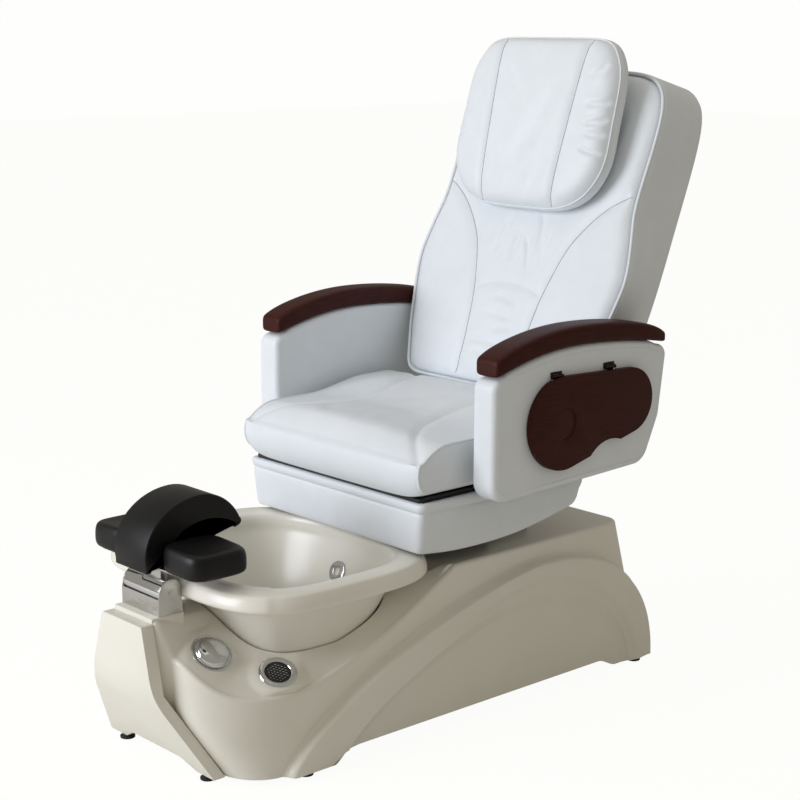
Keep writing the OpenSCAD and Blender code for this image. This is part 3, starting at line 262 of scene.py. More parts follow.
def deck_seat(angle, share, level=0):
    """Frame of a deck fitting, with z along the deck's normal, turned up by a share of level."""
    along = deck_point(angle + 1, share) - deck_point(angle - 1, share)
    across = deck_point(angle, share + 0.02) - deck_point(angle, share - 0.02)
    normal = np.cross(along, across)
    normal = mix(normal / np.linalg.norm(normal), np.array([0, 0, 1]), level)
    normal /= np.linalg.norm(normal)
    spot = Matrix.Translation(Vector(deck_point(angle, share)) / 1000)
    heading = Matrix.Rotation(math.atan2(normal[1], normal[0]), 4, "Z")
    return spot @ heading @ Matrix.Rotation(math.acos(normal[2]), 4, "Y")


knob_seat = deck_seat(-67.5, 0.49)
grille_seat = deck_seat(-15, 0.55, 0.15)


KNOB_FLAT, GRILLE_FLAT, FLAT_FADE = 44, 39, 26       # radii of the two flats, and how far they fade


def landed(points):
    """Flattens the deck under the two round fittings, as the mould does."""
    for seat, flat in ((knob_seat, KNOB_FLAT), (grille_seat, GRILLE_FLAT)):
        middle = np.array(seat.translation) * 1000
        normal = np.array(seat.to_3x3() @ Vector((0, 0, 1)))
        away = points - middle
        height = away @ normal
        flatness = 1 - ease((np.linalg.norm(away, axis=1) - flat) / FLAT_FADE)
        points = points - np.outer(height * flatness, normal)
    return points


rounding = [np.column_stack([outline(EDGE, EDGE_ROUND * (1 - math.cos(a))),
                             edge_z - EDGE_ROUND + EDGE_ROUND * math.sin(a)])
            for a in np.radians(np.linspace(15, 90, 6))]
rim = seam(edge[:, 0], edge[:, 1])
deck = []
for u in np.linspace(0, 1, 30)[1:]:
    row = mix(rounding[-1], rim, u)
    level = ease((row[:, 1] + 90) / 40)
    row[:, 2] = mix(row[:, 2], DECK_TOP, level * (row[:, 2] < DECK_TOP))
    deck.append(landed(row) if u < 0.97 else row)
turned_down = [seam(edge[:, 0], edge[:, 1], WALL)]
inside = [row - (0, 0, WALL) for row in deck[-2::-2]] + wall_rows(WALL)[::-1]
shell = loft("shell", wall_rows(0) + rounding + deck + turned_down + inside, joined=True, sharp=35)

# Arched boss: a band that rises 25 mm from the wall in a soft fillet, steps down twice
# inside, and ends in a flat field
ARCH_Y, ARCH_H, ARCH_AHEAD, ARCH_BEHIND = 183, 292, 686, 372
BAND_RISE, FIELD_RISE = 25, 12.5
AHEAD_STOPS, BEHIND_STOPS = 150, 109


def wall_x(y, z):
    """Half width of the wall at a point of the side."""
    up = np.clip(z / 110, 0, 1)
    half, flat, nose = (mix(FOOT[size], WAIST[size], up) for size in ("half", "flat", "nose"))
    front = mix(FOOT["front"], WAIST["front"] + WAIST["set_in"], up)
    curve = np.clip((nose - y) / (nose - front), 0, 1)
    rear = np.interp(z, (0, 192, 339), (FOOT["rear"], WAIST["rear"], EDGE["rear"]))
    radius = (FOOT["corner"] + WAIST["corner"]) / 2
    corner = np.clip((y - rear + radius) / radius, 0, 1)
    return flat + (half - flat) * np.sqrt(1 - curve ** 2) - radius * (1 - np.sqrt(1 - corner ** 2))


def arch_line(t):
    """The arch in side view, drawn in by t; its inner lines lean towards the front."""
    ahead, behind = np.linspace(180, 90, AHEAD_STOPS), np.linspace(90, 0, BEHIND_STOPS + 1)[1:]
    lean = 0.8 * max(t, 0)
    x1, z1 = squircle(ahead, ARCH_AHEAD - 1.7 * t, ARCH_H - t, 1.4)
    t_rear = t if t > 0 else t * 0.3
    x2, z2 = squircle(behind, ARCH_BEHIND - t_rear, ARCH_H - t, 2.25)
    y = np.concatenate([x1 - lean * (180 - ahead) / 90, x2 - lean * behind / 90]) + ARCH_Y
    return y, FLOOR_GAP + np.concatenate([z1, z2])


def arch_boss(side):
    along = np.linspace(0, 1, AHEAD_STOPS + BEHIND_STOPS)
    step = 58 - 24 * np.exp(-((along - 0.56) / 0.2) ** 2)       # offset of the first step
    profile = [(-7, -1.5), (-4.5, 1.4), (-2.4, 4.8), (-1, 9.4), (0, 14), (1.2, 18.6), (2.6, 22), (4.6, 24.2),
               (8, BAND_RISE), (13, BAND_RISE), (18, BAND_RISE)]
    rows = []
    for t, rise in profile:
        y, z = arch_line(t)
        rows.append((y, z, rise + 0 * y))
    drop = 6 * ease((along - 0.3) / 0.25)
    for u in np.linspace(0, 1, 15):
        t = step - 6 + 26 * u
        lines = [arch_line(v) for v in (20, 50, 90)]
        y = quadratic(t, (20, 50, 90), [line[0] for line in lines])
        z = quadratic(t, (20, 50, 90), [line[1] for line in lines])
        rows.append((y, z, BAND_RISE - drop * ease(u)))
    for u in np.linspace(0, 1, 15)[1:]:
        t = mix(step + 20, 118, u)
        lines = [arch_line(v) for v in (20, 70, 120)]
        y = quadratic(t, (20, 70, 120), [line[0] for line in lines])
        z = quadratic(t, (20, 70, 120), [line[1] for line in lines])
        rows.append((y, z, mix(BAND_RISE - drop, FIELD_RISE, ease((t - 62) / 40))))
    y, z = rows[-1][:2]
    for u in np.linspace(0, 1, 9)[1:]:
        rows.append((y, mix(z, np.maximum(foot_height(FOOT["half"], y), FLOOR_GAP), u), FIELD_RISE + 0 * y))
    skin_rows = []
    for y, z, rise in rows:
        z = np.maximum(z, foot_height(FOOT["half"], y))
        base_x = np.maximum(wall_x(y, z), np.where(y > 300, 247, 0))
        skin_rows.append(np.column_stack([base_x + rise, y, z]))
    first, last = skin_rows[0].copy(), skin_rows[-1].copy()
    for hidden in (first, last):
        hidden[:, 0] = np.minimum(hidden[:, 0] - 4, 247)
    sections = np.stack([first] + skin_rows + [last], axis=1)
    sections[..., 0] *= side
    return loft("boss", sections, sharp=35)


def quadratic(t, at, values):
    """A value at t from three neighbours, with no kink between them."""
    a, b, c = at
    return (values[0] * (t - b) * (t - c) / ((a - b) * (a - c))
            + values[1] * (t - a) * (t - c) / ((b - a) * (b - c))
            + values[2] * (t - a) * (t - b) / ((c - a) * (c - b)))


def block(name, low, high, radius=3):
    """A moulded block with rounded edges."""
    size = Vector(high) - Vector(low)
    bpy.ops.mesh.primitive_cube_add(size=1, location=(Vector(low) + size / 2) / 1000)
    piece = bpy.context.object
    piece.name = name
    piece.scale = size / 1000
    bpy.ops.object.transform_apply(location=True, rotation=False, scale=True)
    bpy.ops.object.mode_set(mode="EDIT")
    bpy.ops.mesh.select_all(action="SELECT")
    bpy.ops.mesh.bevel(offset=radius / 1000, segments=4)
    bpy.ops.object.mode_set(mode="OBJECT")
    piece.data.shade_smooth()
    piece.data.set_sharp_from_angle(angle=math.radians(40))
    return piece


# The ledge behind the panel's top, on which the footrest's cradle is bolted
ledge = block("ledge", (-65, -676, 296), (65, -600, 320), 2.5)
shell = join("base_moulding", shell, arch_boss(1), arch_boss(-1), ledge)
dress(shell, gelcoat, "base", "gelcoat", "base_shell")


# ======================================================================================
# Front panel
# A separate shield of the same gelcoated laminate, screwed on from behind. Its edges are
# broken to about 3 mm and it is creased at the waist.
# ======================================================================================
def rounded_copy(node, name, radius, segments=3, limit=30):
    """The CAD piece with its sharp edges rounded: a merged copy, bevelled."""
    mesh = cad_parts[node].data.copy()
    work = bmesh.new()
    work.from_mesh(mesh)
    bmesh.ops.remove_doubles(work, verts=work.verts, dist=1e-5)
    bmesh.ops.dissolve_limit(work, angle_limit=math.radians(0.5), verts=work.verts, edges=work.edges)
    work.to_mesh(mesh)
    work.free()
    piece = closed_piece(name, mesh, 180)
    rounding = piece.modifiers.new("rounding", "BEVEL")
    rounding.width = radius / 1000
    rounding.segments = segments
    rounding.limit_method = "ANGLE"
    rounding.angle_limit = math.radians(limit)
    rounding.miter_outer = "MITER_ARC"
    with bpy.context.temp_override(object=piece, active_object=piece):
        bpy.ops.object.modifier_apply(modifier="rounding")
    piece.data.shade_smooth()
    piece.data.set_sharp_from_angle(angle=math.radians(35))
    return piece


panel = rounded_copy("front_panel", "front_shield", 3.5, 4, 15)
dress(panel, gelcoat, "base", "gelcoat", "front_panel")


# ======================================================================================
# Basin
# The foot bath: a thermoformed acrylic bowl with a rolled rim that overhangs the deck.
# The rim has raised hand-hold stretches, bounded by fine radial beads.
# ======================================================================================
def smooth_line(points, steps):
    """A line through the points with no corners (Catmull-Rom), steps to each stretch."""
    p = np.array(points, float)
    p = np.vstack([2 * p[0] - p[1], p, 2 * p[-1] - p[-2]])
    line = []
    for k in range(1, len(p) - 2):
        for u in np.linspace(0, 1, steps, endpoint=False):
            line.append(0.5 * (2 * p[k] + (p[k + 1] - p[k - 1]) * u
                               + (2 * p[k - 1] - 5 * p[k] + 4 * p[k + 1] - p[k + 2]) * u ** 2
                               + (3 * p[k] - p[k - 1] - 3 * p[k + 1] + p[k + 2]) * u ** 3))
    return np.array(line + [p[-2]])


def evenly(points, count, closed=True, measured=2):
    """The same line with points at equal steps, measured over its first columns."""
    line = np.array(points, float)
    if closed:
        line = np.vstack([line, line[:1]])
    steps = np.linalg.norm(np.diff(line[:, :measured], axis=0), axis=1)
    walked = np.concatenate([[0], np.cumsum(steps)])
    stops = np.linspace(0, walked[-1], count, endpoint=not closed)
    return np.stack([np.interp(stops, walked, line[:, k]) for k in range(line.shape[1])], -1)


# Vacuum-formed acrylic: pearl white, glossy, with soft reflections of the lamp.
acrylic = new_material("basin_acrylic_glossy")
place = add_node(acrylic, "TexCoord").outputs["Object"]
drift = add_node(acrylic, "TexNoise", {"Scale": 6, "Detail": 2}, {"Vector": place})
tint = add_node(acrylic, "Mix", {"data_type": "RGBA", MIX_A: colour("#e2dfd4"), MIX_B: colour("#eae8df")},
                {0: drift.outputs["Fac"]})
gloss = add_node(acrylic, "MapRange", {"To Min": 0.26, "To Max": 0.34}, {"Value": drift.outputs["Fac"]})
skin = add_node(acrylic, "BsdfPrincipled", {"IOR": 1.49, "Coat Weight": 0.15, "Coat Roughness": 0.15},
                {"Base Color": tint.outputs[MIXED], "Roughness": gloss.outputs[0]})
add_node(acrylic, "OutputMaterial", {}, {"Surface": skin.outputs[0]})

RIM_TOP = 385
rim_steps = [(14, 39), (3, 36), (0, 29), (2.5, 17), (8, 6), (14, 2), (28, 0), (46, 0.6), (57, 4), (62, 12),
             (63.5, 22)]
outer_wall = [(inset, z) for z, inset in BASIN_LEVELS]
inner_wall = [(inset + 8, z) for z, inset in BASIN_LEVELS[:0:-1]]
profile = np.vstack([
    [(158, 100), (150, 101)], smooth_line(outer_wall, 8)[1:-1], [(58, 344), (40, 345.4), (22, 345.8)],
    smooth_line([(inset, RIM_TOP - drop) for inset, drop in rim_steps] + inner_wall
                + [(148, 118), (168, 108), (190, 106)], 7)])
GRIP_FROM, GRIP_TO, GRIP_FADE = 255, 322, 1.4       # degrees round the plan
GRIP_RISE, BEAD_RISE, BEAD_WIDE = 2.4, 1.4, 0.9
turn = np.linspace(0, 2 * math.pi, 360, endpoint=False)
degrees = np.degrees(turn)
grip = ease((degrees - GRIP_FROM) / GRIP_FADE) * ease((GRIP_TO - degrees) / GRIP_FADE)
beads = sum(np.exp(-((degrees - at) / BEAD_WIDE) ** 2) for at in (322, 348, 218, 192))
rings = []
for inset, z in profile:
    on_rim = ease((z - 348) / 10) * ease((70 - inset) / 8)
    x, y = basin_point(turn, inset)
    out_x, out_y = basin_point(turn, inset - 1)
    proud = on_rim * (GRIP_RISE * grip + BEAD_RISE * beads)
    falls = ease((inset - 20) / 20)
    rings.append(np.stack([x + (out_x - x) * proud * (1 - falls), y + (out_y - y) * proud * (1 - falls),
                           z + proud * falls], -1))
DRAIN_R, FLOOR_TOP, FLOOR_UNDER = 22, 106, 100
drain = np.stack([DRAIN_R * np.cos(turn), BASIN_Y + DRAIN_R * np.sin(turn), 0 * turn], -1)
floor_ring, under_ring = rings[-1], rings[0]
for u in np.linspace(0, 1, 7)[1:]:
    rings.append(mix(floor_ring, drain + (0, 0, FLOOR_TOP), u))
rings.append(drain + (0, 0, FLOOR_UNDER))
rings.append(mix(rings[-1], under_ring, 0.5))
basin = loft("foot_basin", rings, joined=True, sharp=60)
dress(basin, acrylic, "base", "gelcoat", "basin")


# ======================================================================================
# Chassis and plumbing
# Welded steel cradle, pumps, control box and drain: plain bought-in parts inside the base,
# seen only from below or through the basin. The slotted hatch at the rear is cream laminate.
# ======================================================================================
# Powder coat over welded tube: near-black, matt, pebbled about 1.5 mm apart.
powder = new_material("powder_coated_steel")
place = add_node(powder, "TexCoord").outputs["Object"]
pebble = add_node(powder, "TexNoise", {"Scale": 650, "Detail": 2}, {"Vector": place})
relief = add_node(powder, "Bump", {"Strength": 0.3, "Distance": 0.0003}, {"Height": pebble.outputs["Fac"]})
tint = add_node(powder, "Mix", {"data_type": "RGBA", MIX_A: colour("#222427"), MIX_B: colour("#303336")},
                {0: pebble.outputs["Fac"]})
skin = add_node(powder, "BsdfPrincipled", {"Roughness": 0.55, "IOR": 1.5},
                {"Base Color": tint.outputs[MIXED], "Normal": relief.outputs[0]})
add_node(powder, "OutputMaterial", {}, {"Surface": skin.outputs[0]})

# Injection-moulded ABS: black, fine spark-eroded texture.
plastic = new_material("black_abs_textured")
place = add_node(plastic, "TexCoord").outputs["Object"]
spark = add_node(plastic, "TexNoise", {"Scale": 900, "Detail": 3}, {"Vector": place})
relief = add_node(plastic, "Bump", {"Strength": 0.25, "Distance": 0.0002}, {"Height": spark.outputs["Fac"]})
gloss = add_node(plastic, "MapRange", {"To Min": 0.38, "To Max": 0.52}, {"Value": spark.outputs["Fac"]})
skin = add_node(plastic, "BsdfPrincipled", {"Base Color": colour("#15171a"), "IOR": 1.53},
                {"Roughness": gloss.outputs[0], "Normal": relief.outputs[0]})
add_node(plastic, "OutputMaterial", {}, {"Surface": skin.outputs[0]})

# Moulded natural rubber: matt charcoal with a faint bloom.
rubber = new_material("moulded_rubber")
place = add_node(rubber, "TexCoord").outputs["Object"]
bloom = add_node(rubber, "TexNoise", {"Scale": 60, "Detail": 4}, {"Vector": place})
tint = add_node(rubber, "Mix", {"data_type": "RGBA", MIX_A: colour("#121212"), MIX_B: colour("#1f1f20")},
                {0: bloom.outputs["Fac"]})
skin = add_node(rubber, "BsdfPrincipled", {"Roughness": 0.75, "IOR": 1.52},
                {"Base Color": tint.outputs[MIXED]})
add_node(rubber, "OutputMaterial", {}, {"Surface": skin.outputs[0]})

# Polished chrome plate: mirror-bright, slightly blue, with faint polishing haze.
chrome = new_material("chrome_plate_polished")
place = add_node(chrome, "TexCoord").outputs["Object"]
haze = add_node(chrome, "TexNoise", {"Scale": 80, "Detail": 3}, {"Vector": place})
gloss = add_node(chrome, "MapRange", {"To Min": 0.05, "To Max": 0.12}, {"Value": haze.outputs["Fac"]})
skin = add_node(chrome, "BsdfPrincipled", {"Base Color": colour("#d2d4d6"), "Metallic": 1},
                {"Roughness": gloss.outputs[0]})
add_node(chrome, "OutputMaterial", {}, {"Surface": skin.outputs[0]})


def paint(finish, slot, *nodes):
    """Gives CAD pieces that keep their own mesh a finish."""
    for node in nodes:
        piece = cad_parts[node]
        piece.data.materials.clear()
        piece.data.materials.append(finish)


paint(powder, "painted_steel", "base_frame")
paint(gelcoat, "gelcoat", "service_cover")
paint(plastic, "black_plastic", "jet_pump", "drain_pump", "control_box", "power_inlet")
dress(rounded_copy("levelling_feet", "rubber_feet", 1.2), rubber, "base", "rubber", "levelling_feet")
dress(rounded_copy("drain_flange", "drain_ring", 0.8), chrome, "base", "chrome", "drain_flange")
dress(rounded_copy("drain_plug", "plug_cap", 1), chrome, "plug", "chrome", "drain_plug")
dress(rounded_copy("jet_faceplate", "jet_ring", 1.4), chrome, "base", "chrome", "jet_faceplate")


# ======================================================================================
# Mixer knob and air grille
# Two round fittings on the deck: a polished domed knob that turns in a plated bezel, and a
# pressed ring round a perforated disc.
# ======================================================================================
def turned_piece(name, steps, seat, around=96):
    """A piece turned on a lathe: a disc drawn up and scaled through (radius, height) steps."""
    bpy.ops.mesh.primitive_circle_add(vertices=around, radius=steps[0][0] / 1000, fill_type="NGON")
    piece = bpy.context.object
    bpy.ops.object.mode_set(mode="EDIT")
    bpy.ops.mesh.select_all(action="SELECT")
    bpy.ops.transform.translate(value=(0, 0, steps[0][1] / 1000))
    for (r0, z0), (r1, z1) in zip(steps, steps[1:]):
        bpy.ops.mesh.extrude_region_move(TRANSFORM_OT_translate={"value": (0, 0, (z1 - z0) / 1000)})
        bpy.ops.transform.resize(value=(r1 / r0, r1 / r0, 1))
    bpy.ops.object.mode_set(mode="OBJECT")
    mesh = piece.data.copy()
    bpy.data.objects.remove(piece)
    mesh.transform(seat)
    return closed_piece(name, mesh, 28)


SHAFT_R, KNOB_R, DOME_R, DOME_H = 8, 36.8, 33.5, 14.3
dome = [(SHAFT_R, -22), (SHAFT_R, 0.8), (36, 0.8)]
dome += [(KNOB_R - 1.8 * (1 - math.cos(a)), 2.2 + 1.2 * math.sin(a)) for a in np.radians((0, 30, 60, 90))]
dome += [(DOME_R * math.cos(a), 4.2 + DOME_H * math.sin(a)) for a in np.radians(np.linspace(4, 88, 15))]
knob = turned_piece("mixer_knob_dome", dome, knob_seat)
dress(knob, chrome, "knob", "chrome", "mixer_knob")
bezel_steps = [(20, -2.9), (43, -2.9), (43, 0.4), (42.6, 1.3), (41.6, 2), (40, 2.1), (38.6, 1.4), (38, 0.6),
               (9, 0.5)]
bezel = turned_piece("mixer_bezel_ring", bezel_steps, knob_seat)
dress(bezel, chrome, "base", "chrome", "mixer_bezel")
paint(powder, "brass", "mixer_valve")

# Pressed stainless: satin, with a brushed haze.
stainless = new_material("stainless_brushed")
place = add_node(stainless, "TexCoord").outputs["Object"]
stretch = add_node(stainless, "Mapping", {"Scale": (30, 900, 900)}, {"Vector": place})
brush = add_node(stainless, "TexNoise", {"Scale": 1, "Detail": 3}, {"Vector": stretch.outputs[0]})
gloss = add_node(stainless, "MapRange", {"To Min": 0.2, "To Max": 0.34}, {"Value": brush.outputs["Fac"]})
relief = add_node(stainless, "Bump", {"Strength": 0.08, "Distance": 0.0001}, {"Height": brush.outputs["Fac"]})
skin = add_node(stainless, "BsdfPrincipled", {"Base Color": colour("#c4c3bf"), "Metallic": 1},
                {"Roughness": gloss.outputs[0], "Normal": relief.outputs[0]})
add_node(stainless, "OutputMaterial", {}, {"Surface": skin.outputs[0]})

ring_steps = [(25.3, -2.9), (38, -2.9), (38, 0.2), (37.2, 1.6), (35.6, 2.9), (33.4, 3.9), (31.5, 4.4),
              (29.6, 4.3), (27.4, 3.4), (26, 2.2), (25.3, 1), (24, 0.6)]
ring = turned_piece("air_grille_ring", ring_steps, grille_seat)
dress(ring, chrome, "base", "chrome", "grille_ring")
disc = rounded_copy("grille_insert", "air_grille_disc", 0.3, 2)
dress(disc, plastic, "base", "black_plastic", "grille_insert")


# ======================================================================================
# Footrest
# A folded stainless cradle on the ledge, a polished roll on the hinge pin, and on its arm
# the arched heel rest between two sole pads of self-skinned black polyurethane.
# ======================================================================================
# Self-skinned polyurethane foam: black, satin, very fine leather-like grain of 1.5 mm.
polyurethane = new_material("black_polyurethane_skin")
place = add_node(polyurethane, "TexCoord").outputs["Object"]
grain = add_node(polyurethane, "TexVoronoi", {"Scale": 620}, {"Vector": place})
cloudy = add_node(polyurethane, "TexNoise", {"Scale": 14, "Detail": 2}, {"Vector": place})
relief = add_node(polyurethane, "Bump", {"Strength": 0.12, "Distance": 0.0002},
                  {"Height": grain.outputs["Distance"]})
gloss = add_node(polyurethane, "MapRange", {"To Min": 0.36, "To Max": 0.48},
                 {"Value": cloudy.outputs["Fac"]})
skin = add_node(polyurethane, "BsdfPrincipled",
                {"Base Color": colour("#08090b"), "IOR": 1.5, "Specular IOR Level": 0.28},
                {"Roughness": gloss.outputs[0], "Normal": relief.outputs[0]})
add_node(polyurethane, "OutputMaterial", {}, {"Surface": skin.outputs[0]})

cradle = rounded_copy("footrest_bracket", "footrest_cradle", 0.6)
dress(cradle, stainless, "base", "stainless", "footrest_bracket")
roll = rounded_copy("footrest_roll", "footrest_hinge_roll", 0.5)
dress(roll, chrome, "footrest", "chrome", "footrest_roll")
arm_plate = rounded_copy("footrest_arm", "footrest_arm_plate", 0.6)
dress(arm_plate, stainless, "footrest", "stainless", "footrest_arm")
paint(stainless, "stainless", "footrest_pin")

FACE_INSET = 5              # where a flat face's first ring of points lies, inside its rounded rim


def inward(line, t):
    """A closed line drawn in by t along its own normals; the line runs anticlockwise."""
    ahead = np.roll(line, -1, 0) - np.roll(line, 1, 0)
    ahead /= np.linalg.norm(ahead, axis=1)[:, None]
    return line + t * np.column_stack([-ahead[:, 1], ahead[:, 0]])


def slab(name, side_view, x0, x1, radius, steps=5, sharp=40):
    """A (y, z) outline carried from x0 to x1, with its two rims rounded and its faces flat."""
    y, z = inward(side_view, radius + FACE_INSET).T
    rings = [np.column_stack([x0 + 0 * y, y, z])]
    for a in np.radians(np.linspace(0, 90, steps)):
        y, z = inward(side_view, radius * (1 - math.sin(a))).T
        rings.append(np.column_stack([x0 + radius * (1 - math.cos(a)) + 0 * y, y, z]))
    mirrored = [np.column_stack([x0 + x1 - ring[:, 0], ring[:, 1:]]) for ring in rings[::-1]]
    return loft(name, rings + mirrored, sharp=sharp)


# Side view of the heel rest: two arcs, an outer one with a longer reach in front and an inner
# one, joined by a foot and a rounded tip
OUTER_Y, OUTER_Z, OUTER_FRONT, OUTER_BACK, OUTER_UP = -548, 436, 131, 104, 106
INNER_Y, INNER_Z, INNER_REACH, INNER_UP = -533, 425, 86, 58
HEEL_HALF_W, HEEL_ROUND = 54, 3
over, under = np.linspace(190, 25, 90), np.linspace(38, 186, 60)
reach = np.where(over > 90, OUTER_FRONT, OUTER_BACK)
over, under = np.radians(over), np.radians(under)
arch_outside = np.column_stack([OUTER_Y + reach * np.cos(over), OUTER_Z + OUTER_UP * np.sin(over)])
arch_inside = np.column_stack([INNER_Y + INNER_REACH * np.cos(under), INNER_Z + INNER_UP * np.sin(under)])
arch_foot = [(-664, 411), (-665.5, 407.4), (-674, 406), (-677, 408)]
arch_tip = [(-450.5, 477.5), (-449.5, 473), (-450.5, 468.5), (-454, 465), (-459, 463)]
crescent = evenly(np.vstack([arch_foot, arch_outside, arch_tip, arch_inside]), 360)
heel = slab("heel_rest", crescent[::-1], -HEEL_HALF_W, HEEL_HALF_W, HEEL_ROUND)
dress(heel, polyurethane, "footrest", "black_leather", "footrest_arch")


PAD_HALF_W, PAD_HALF_D = 65.3, 66
PAD_X, PAD_Y, PAD_BASE = 119.7, -589, 411
SIDES = ((1, "right"), (-1, "left"))


def sole_pad(side, name):
    """One pad: a squared cushion with a soft rim and a shallow dish on top."""
    turn = np.linspace(0, 360, 160, endpoint=False)
    profile = [(0.84, 0), (0.9, 0.6), (0.95, 2.4), (0.985, 6), (1, 11), (1.003, 18), (1, 28), (0.992, 34),
               (0.97, 39.5), (0.935, 43.4), (0.89, 45.6), (0.83, 46.4), (0.76, 46.3), (0.66, 45.8),
               (0.52, 45.3), (0.36, 45), (0.2, 45), (0.08, 45)]
    rings = []
    for s, z in profile:
        qx, qy = squircle(turn, 1, 1, 4.4 if s > 0.6 else 3)
        x, y = PAD_HALF_W * s * qx, PAD_HALF_D * s * qy
        fall = 0.035 * (x + PAD_HALF_W) * ease((z - 8) / 20)
        rings.append(np.column_stack([side * (PAD_X + x), PAD_Y + y + 3 * (x / PAD_HALF_W) ** 2,
                                      PAD_BASE + z * 1.15 - fall]))
    return loft("sole_pad_" + name, rings, sharp=60)


for side, name in SIDES:
    pad = dress(sole_pad(side, name), polyurethane, "footrest", "black_leather", "footrest_pad_" + name)


# ======================================================================================
# Seat carriage
# Two steel rails on the deck, sliding shoes, the welded frame and the board that carry the
# upholstery, with a padded skirt of the same white leather round them.
# ======================================================================================
paint(stainless, "stainless", "slide_rails")
paint(plastic, "black_plastic", "slide_shoes", "seat_pan")
paint(powder, "painted_steel", "seat_frame", "arm_brackets", "recline_brackets", "back_frame")

# Coated upholstery leather: white with a cool cast, semi-matt, pebble grain drawn 2.4 mm
# across so that it shows, and a slight unevenness of the foam under it.
leather = new_material("white_upholstery_leather")
place = add_node(leather, "TexCoord").outputs["Object"]
grain = add_node(leather, "TexVoronoi", {"Scale": 420, "feature": "SMOOTH_F1"},
                 {"Vector": place})
foam = add_node(leather, "TexNoise", {"Scale": 22, "Detail": 2}, {"Vector": place})
tint = add_node(leather, "Mix", {"data_type": "RGBA", MIX_A: colour("#dde3e9"), MIX_B: colour("#e5eaef")},
                {0: foam.outputs["Fac"]})
gloss = add_node(leather, "MapRange", {"To Min": 0.42, "To Max": 0.52}, {"Value": foam.outputs["Fac"]})
soft = add_node(leather, "Bump", {"Strength": 0.25, "Distance": 0.004}, {"Height": foam.outputs["Fac"]})
relief = add_node(leather, "Bump", {"Strength": 0.1, "Distance": 0.0003},
                  {"Height": grain.outputs["Distance"], "Normal": soft.outputs[0]})
skin = add_node(leather, "BsdfPrincipled", {"IOR": 1.48},
                {"Base Color": tint.outputs[MIXED], "Roughness": gloss.outputs[0],
                 "Normal": relief.outputs[0]})
add_node(leather, "OutputMaterial", {}, {"Surface": skin.outputs[0]})

SKIRT_HALF, SKIRT_FRONT, SKIRT_REAR, SKIRT_TOP = 281, -174, 304, 497
SKIRT_CORNER, SKIRT_WALL = 14, 13
SKIRT_TAPER, SKIRT_TUCK, SKIRT_TALL = 15, 5, 117       # it draws in by these over its height
low_line = smooth_line([(-204, 394), (-156, 389), (-64, 380), (57, 380), (149, 389), (263, 412), (285, 426),
                        (297, 457), (366, 470)], 6)


def rounded_box(half, front, rear, corner, count):
    """Plan of the skirt: a rectangle with round corners, anticlockwise."""
    turn = np.radians(np.linspace(0, 90, 12))
    corners = [(half - corner, rear - corner, 0), (-half + corner, rear - corner, 90),
               (-half + corner, front + corner, 180), (half - corner, front + corner, 270)]
    line = [(x + corner * math.cos(a + math.radians(t)), y + corner * math.sin(a + math.radians(t)))
            for x, y, t in corners for a in turn]
    return evenly(line, count)


plan = rounded_box(SKIRT_HALF, SKIRT_FRONT, SKIRT_REAR, SKIRT_CORNER, 520)
low_z = np.interp(plan[:, 1], low_line[:, 0], low_line[:, 1])
squeeze = np.minimum(1, (SKIRT_TOP - low_z) / 90)       # the rows close up where the skirt is low
# Rows up from the lower edge, then down from the top: how far, and how far they stand out
from_edge = [(0, -7), (0.6, -3.5), (2.2, -1), (6, 0.6), (16, 1.6), (28, 1.6), (40, 1.6)]
from_top = [(60, 1.8), (40, 1.4), (28, 0.6), (24, -0.4), (22, -1.6), (21, -2), (20, -1.5), (18, 0.6),
            (14, 2.2), (9, 2.8), (5, 2), (2, 0), (0.4, -3), (0, -6)]
rows = [(low_z + rise * squeeze, out) for rise, out in from_edge]
rows += [(SKIRT_TOP - drop * squeeze, out) for drop, out in from_top]
rows += [(SKIRT_TOP + 0 * low_z, -SKIRT_WALL), (low_z, -SKIRT_WALL)]
rings = []
for z, out in rows:
    lean = np.clip((SKIRT_TOP - z) / SKIRT_TALL, 0, 1)
    x, y = inward(plan, -out).T
    narrower = 1 - SKIRT_TAPER / SKIRT_HALF * lean
    rings.append(np.column_stack([x * narrower, y + SKIRT_TUCK * lean * (y < 0), z]))
skirt = loft("seat_skirt_padding", rings, joined=True, sharp=60)
dress(skirt, leather, "seat", "white_leather", "seat_skirt")


# ======================================================================================
# Seat cushion
# Moulded foam in a sewn leather cover: a crowned middle panel between two curved seams,
# a rolled front edge, flat side bands, and a thin piping along each side.
# ======================================================================================
def tube(name, path, radius, closed=False, sides=10):
    """A round cord laid along a line of points."""
    line = np.array(path, float)
    ahead = np.roll(line, -1, 0) - np.roll(line, 1, 0)
    if not closed:
        ahead[0], ahead[-1] = line[1] - line[0], line[-1] - line[-2]
    ahead /= np.linalg.norm(ahead, axis=1)[:, None]
    side = np.cross(ahead[0], (0.31, 0.27, 0.91))
    turn = np.linspace(0, 2 * math.pi, sides, endpoint=False)[:, None]
    rings = []
    for point, way in zip(line, ahead):
        side = side - way * side.dot(way)
        side /= np.linalg.norm(side)
        rings.append(point + radius * (np.cos(turn) * side + np.sin(turn) * np.cross(way, side)))
    return loft(name, rings, joined=closed, sharp=60)


